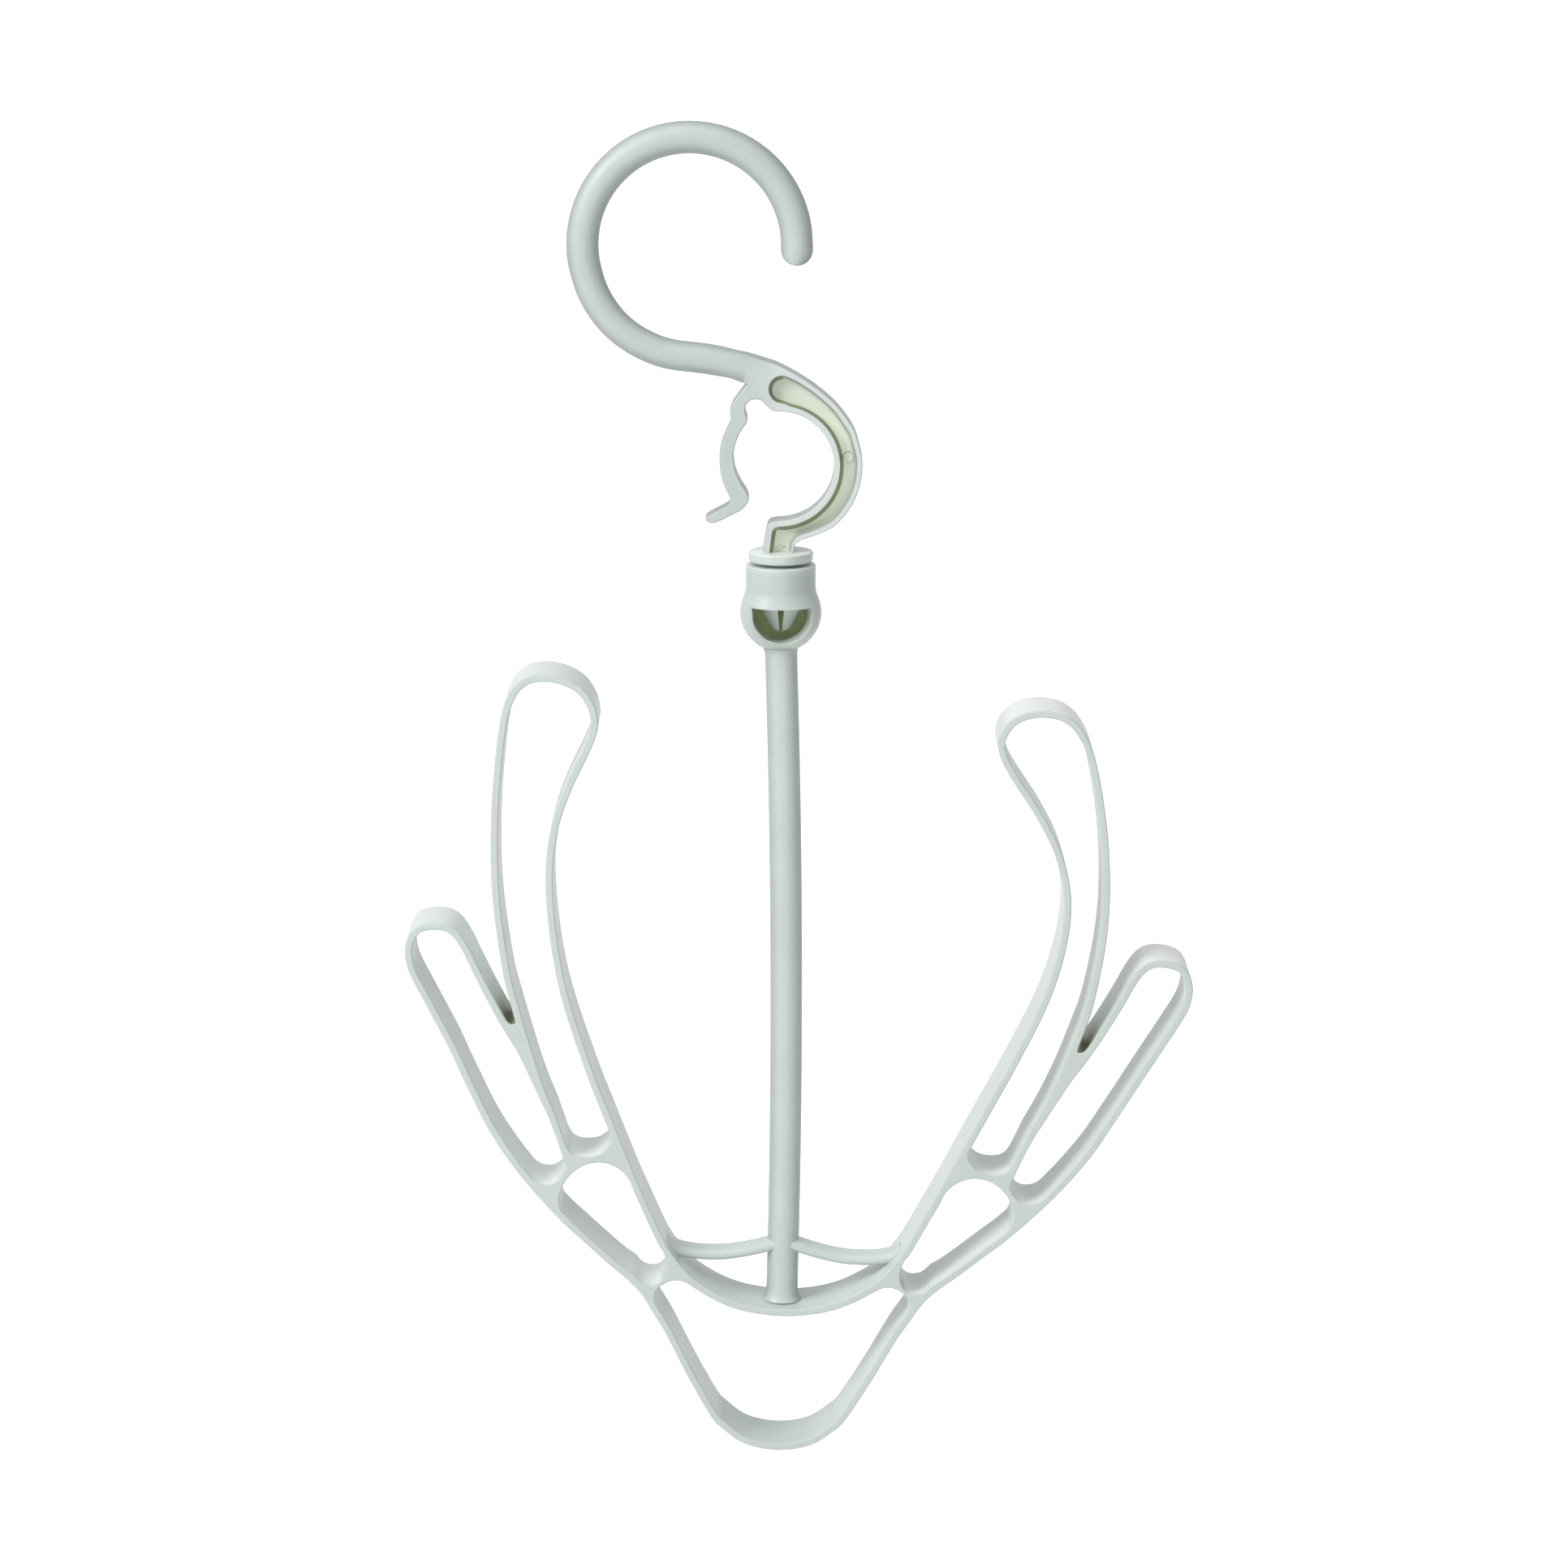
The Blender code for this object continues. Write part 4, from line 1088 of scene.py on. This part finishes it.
def clip_plate(shell):
    """The clip's channel and neck, with a pocket in both faces.

    Gives the loop of vertices round its cut towards the bar, and that cut's top and bottom.
    """
    half = CLIP_DEPTH / 2
    # Painted light: the channel's edge is painted pale along the thin rims
    rows = wall(shell, channel_edge(), False, half, CLIP_EDGE, DEPTH_STEPS,
                lambda p, n: -rim_painted_light(p))
    line, *shape = pocket()
    dishes = {face: dish(shell, line, face, half, CLIP_FLOOR / 2, *shape) for face in (-1, 1)}
    # The underside's corner between the bar and the clip's arm
    corner = scaled(ROOT_CORNER, ARM_ROOT_OUT, 1, 1)
    corner_rows = wall(shell, corner, False, half, CLIP_EDGE, DEPTH_STEPS)
    # Round the cut: down the front face, up the corner's start, over the back face and home
    top_end = [row[-1] for row in rows]
    low_end = [row[0] for row in corner_rows]

    def between(a, b, count=9):
        """Vertices on a straight line across a face, from a to b."""
        start, end = Vector(shell.points[a]), Vector(shell.points[b])
        points = [tuple(start.lerp(end, k / (count + 1))) for k in range(1, count + 1)]
        return shell.row(points, [shell.normals[a]] * count)

    front = between(top_end[0], low_end[0])
    back = between(low_end[-1], top_end[-1])
    ring = front + low_end + back + top_end[::-1]
    # Seam towards the arm, closed flat
    seam = [row[-1] for row in corner_rows] + [row[0] for row in rows][::-1]
    shell.faces.append(tuple(seam))
    shell.cap([rows[0] + front + corner_rows[0], dishes[-1]])
    shell.cap([rows[-1] + back[::-1] + corner_rows[-1], dishes[1]])
    top, low = [Vector(shell.points[end[EDGE_STEPS]]) for end in (top_end, low_end)]
    return ring, top, low


def hook_bar(shell, ring, top, low):
    """The round bar, from the plate's cut to the tip of the hook."""
    centre = Vector(((top.x + low.x) / 2, 0, (top.z + low.z) / 2))
    up = Vector((top.x - low.x, 0, top.z - low.z))
    height = up.length / 2
    up.normalize()
    places = [Vector(shell.points[i]) for i in ring]
    shape = [((p - centre).dot(up), p.y) for p in places]
    turns = [math.atan2(v / (CLIP_DEPTH / 2), u / height) for u, v in shape]
    line = arc(HOOK_CENTRE, HOOK_RADIUS, 0, HOOK_END_TURN, HOOK_STEPS)
    line += scaled(BAR_LEAD_SHARES, HOOK_CENTRE, HOOK_RADIUS, HOOK_RADIUS) + [(centre.x, centre.z)]
    path = resampled(curve(line), PATH_SPACING, False)
    tip_x = path[0][0]
    tip_z = path[0][1] - TIP_DROP
    tip_turns = [math.pi / 2 * (k + TIP_START) / TIP_STEPS for k in range(TIP_STEPS)]
    tip_sizes = [BAR_RADIUS * math.sin(t) for t in tip_turns]
    tip = [(tip_x, tip_z - BAR_RADIUS * math.cos(t)) for t in tip_turns]
    path = tip + [(tip_x, tip_z), (tip_x, tip_z + TIP_DROP / 2)] + path
    left = [0.0] * len(path)
    for i in range(len(path) - 2, -1, -1):
        left[i] = left[i + 1] + distance(path[i], path[i + 1])
    aways = outward(path, False)
    previous = ring
    for i in range(len(path) - 2, -1, -1):
        side = (-aways[i][0], -aways[i][1])
        if side[0] * up.x + side[1] * up.z < 0 and left[i] < ROOT_REACH:
            side = aways[i]
        radius = tip_sizes[i] if i < len(tip_sizes) else bar_radius(left[i], left[0])
        t = smooth(part_way(left[i], 0, ROOT_REACH))
        points = []
        normals = []
        for (u, v), turn in zip(shape, turns):
            across, along = math.cos(turn), math.sin(turn)
            u += t * (radius * across - u)
            v += t * (radius * along - v)
            points.append((path[i][0] + u * side[0], v, path[i][1] + u * side[1]))
            normals.append((across * side[0], along, across * side[1]))
        row = shell.row(points, normals)
        shell.skin([previous, row], True)
        previous = row
    shell.faces.append(tuple(previous))


def bar_radius(left, whole):
    """The hook bar thins a little towards the clip."""
    return BAR_RADIUS * (1 - BAR_THINNING * smooth(part_way(1 - left / whole, *THINS_BETWEEN)))


def hook_moulding():
    shell = Shell()
    hook_bar(shell, *clip_plate(shell))
    return shell.made("hook_moulding")


def disc(name, centre, radius, base, rise, edge, tone):
    """A low round boss on a face that looks to the front, whose side takes more of the floor colour
    than its top: painted shade on the frame's pin marks, painted light on the pocket's boss.
    """
    shell = Shell()
    turns = [2 * math.pi * k / DISC_SIDES for k in range(DISC_SIDES)]
    top = base - rise
    rows = []
    for inset, y, across, along in (
            (-edge, base, 1, -0.3), (0, base - edge, 1, 0), (0, top + edge, 1, 0),
            (0.3 * edge, top + 0.3 * edge, 0.7, -0.7), (edge, top, 0, -1)):
        size = radius - inset
        rows.append(shell.row(
            [(centre[0] + size * math.cos(t), y, centre[1] + size * math.sin(t)) for t in turns],
            [(across * math.cos(t), along, across * math.sin(t)) for t in turns],
            [tone if inset else tone + DISC_SIDE_TONE] * len(turns)))
    shell.skin(rows, True)
    shell.cap([rows[0]])
    shell.cap([rows[-1]])
    return shell.made(name)


def clip_arm():
    """The sprung arm, whose root is next to the plate's seam."""
    shell = Shell()
    outer = curve([ARM_ROOT_OUT] + bored(ARM_OUTER_SHARES))
    inner = curve(bored(ARM_INNER_SHARES + NOTCH_SHARES[:1]))
    line = eased(resampled(outer + inner, SPACING * 0.8, False), False)
    rows = wall(shell, line, False, CLIP_DEPTH / 2, CLIP_EDGE, 2)
    shell.cap([rows[0]])
    shell.cap([rows[-1]])
    shell.faces.append(tuple([row[0] for row in rows] + [row[-1] for row in rows][::-1]))
    return shell.made("clip_arm_strip")


def pivot():
    """Flange, pin and split snap head."""
    shoulder = LEDGE_Z - CLEARANCE
    land = shoulder - HEAD_LAND
    tip = land - HEAD_TAPER
    piece = lathe("pivot_pin", rounded([
        (0, FLANGE_TOP, 0), (FLANGE_RADIUS, FLANGE_TOP, 0.0005),
        (FLANGE_RADIUS - 0.0001, FLANGE_LOW, 0.0006), (PIN_RADIUS, FLANGE_LOW, 0.0003),
        (PIN_RADIUS, shoulder, 0.0002), (HEAD_RADIUS, shoulder, 0.0003),
        (HEAD_RADIUS, land, 0.0008), (HEAD_TIP_RADIUS, tip, HEAD_TIP_ROUND),
        (0, tip - 0.0006, 0)]))
    low = tip - 2 * OVERRUN
    top = tip - HEAD_TIP_ROUND + SPLIT_LENGTH
    split = [(-SPLIT_LOW, low), (SPLIT_LOW, low), (SPLIT_HIGH, top), (-SPLIT_HIGH, top)]
    cut(piece, block(split, -HEAD_RADIUS - OVERRUN, HEAD_RADIUS + OVERRUN))
    # Painted light: the flange's up-facing top face is painted pale
    top_face = FLANGE_TOP - 2 * TONE_REACH
    return set_recess(smoothed(piece), lambda place: -1.0 if place.z > top_face else 0.0)


dress(lattice(), frame_plastic, "hanger", "lower_frame",
      "lower_frame", "left_shoe_arm", "right_shoe_arm")
for brace_name, half_side in (("left_brace", -1), ("right_brace", 1)):
    dress(brace(brace_name, half_side), frame_plastic, "hanger", "lower_frame")
dress(stem(), stem_plastic, "hanger", "swivel_stem", "swivel_stem")
dress(socket(), socket_plastic, "hanger", "swivel_stem")
dress(hook_moulding(), hook_plastic, "hook", "hanging_hook", "hanging_hook")
boss = disc("pocket_boss", BOSS_CENTRE, BOSS_RADIUS, SUNK - CLIP_FLOOR / 2, BOSS_RISE, BOSS_EDGE,
            BOSS_TONE)
dress(boss, hook_plastic, "hook", "hanging_hook")
for count, place in enumerate(MARKS, 1):
    mark = disc(f"pin_mark_{count}", place, MARK_RADIUS, SUNK - FRAME_DEPTH / 2, MARK_RISE,
                MARK_EDGE, 0.0)
    dress(mark, frame_plastic, "hanger", "lower_frame")
dress(pivot(), frame_plastic, "hook", "hanging_hook")
arm = clip_arm()
arm.data.materials.append(hook_plastic)
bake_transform(arm)
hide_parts("clip_spring_arm")


# Floor, light and camera

FLOOR_LEVEL = -0.46
FLOOR_REACH = 25.0
FLOOR_WHITE = (0.82, 0.82, 0.82, 1)
FLOOR_GLOW = 0.92
WORLD_FILL = 0.315
# Name, place, width and power in watts
LIGHTS = [
    ("key", (-0.90, -0.60, 0.62), 0.6, 9.1),
    ("front", (-0.15, -0.80, 0.95), 0.7, 2.0),
    ("top", (0.0, -0.1, 1.2), 0.8, 2.4),
    ("fill", (0.05, -1.0, -0.15), 0.6, 1.45),
]
LIGHT_AIM = (0, 0, -0.10)
CAMERA_PLACE = (0.000755, -1.1232, 0.16642)
SENSOR_WIDTH = 36.0
# In pixels of the photo's frame: its width, the focal length, and how far the view looks down
FRAME_PIXELS = 1932
FOCAL_PIXELS = 6000
DOWN_PIXELS = 1366


def larger(tree, a, b):
    return node(tree, "Math", {0: a, 1: b}, operation="MAXIMUM").outputs[0]


def seen(tree):
    """1 for rays that show what they hit, straight, reflected or through, and 0 for the others."""
    rays = node(tree, "LightPath").outputs
    first = larger(tree, rays["Is Camera Ray"], rays["Is Glossy Ray"])
    return larger(tree, first, rays["Is Transmission Ray"])


def floor():
    """A floor that is seen near white and also takes part in the light."""
    mesh = bpy.data.meshes.new("floor")
    square = ((-1, -1), (1, -1), (1, 1), (-1, 1))
    mesh.from_pydata([(x * FLOOR_REACH, y * FLOOR_REACH, 0) for x, y in square], [], [(0, 1, 2, 3)])
    made = linked("floor", mesh)
    made.location = (0, 0, FLOOR_LEVEL)
    material = bpy.data.materials.new("floor_white")
    material.use_nodes = True
    tree = material.node_tree
    tree.nodes.clear()
    diffuse = node(tree, "BsdfDiffuse", {"Color": FLOOR_WHITE})
    strength = node(tree, "Math", {0: seen(tree), 1: FLOOR_GLOW}, operation="MULTIPLY")
    glow = node(tree, "Emission", {"Strength": strength.outputs[0]})
    both = node(tree, "AddShader", {0: diffuse.outputs[0], 1: glow.outputs[0]})
    node(tree, "OutputMaterial", {"Surface": both.outputs[0]})
    mesh.materials.append(material)


def world():
    """A background that is seen white and lights less."""
    made = bpy.data.worlds.new("studio")
    bpy.context.scene.world = made
    made.use_nodes = True
    tree = made.node_tree
    tree.nodes.clear()
    level = node(tree, "MapRange", {"Value": seen(tree), "To Min": WORLD_FILL, "To Max": 1.0})
    back = node(tree, "Background", {"Color": (1.0, 1.0, 1.0, 1.0),
                                     "Strength": level.outputs["Result"]})
    node(tree, "OutputWorld", {"Surface": back.outputs[0]})


def soft_light(name, place, size, watts):
    data = bpy.data.lights.new(name, "AREA")
    data.shape = "SQUARE"
    data.size = size
    data.energy = watts
    made = linked(name, data)
    made.location = place
    made.rotation_mode = "QUATERNION"
    made.rotation_quaternion = (Vector(LIGHT_AIM) - Vector(place)).to_track_quat("-Z", "Y")


def camera():
    data = bpy.data.cameras.new("camera")
    data.sensor_width = SENSOR_WIDTH
    data.sensor_fit = "HORIZONTAL"
    data.lens = SENSOR_WIDTH * FOCAL_PIXELS / FRAME_PIXELS
    data.clip_start = 0.01
    data.clip_end = 50.0
    made = linked("camera", data)
    made.location = CAMERA_PLACE
    made.rotation_euler = (math.radians(90) - math.atan(DOWN_PIXELS / FOCAL_PIXELS), 0, 0)
    bpy.context.scene.camera = made


floor()
world()
for light in LIGHTS:
    soft_light(*light)
camera()
bpy.context.scene.view_settings.view_transform = "Standard"
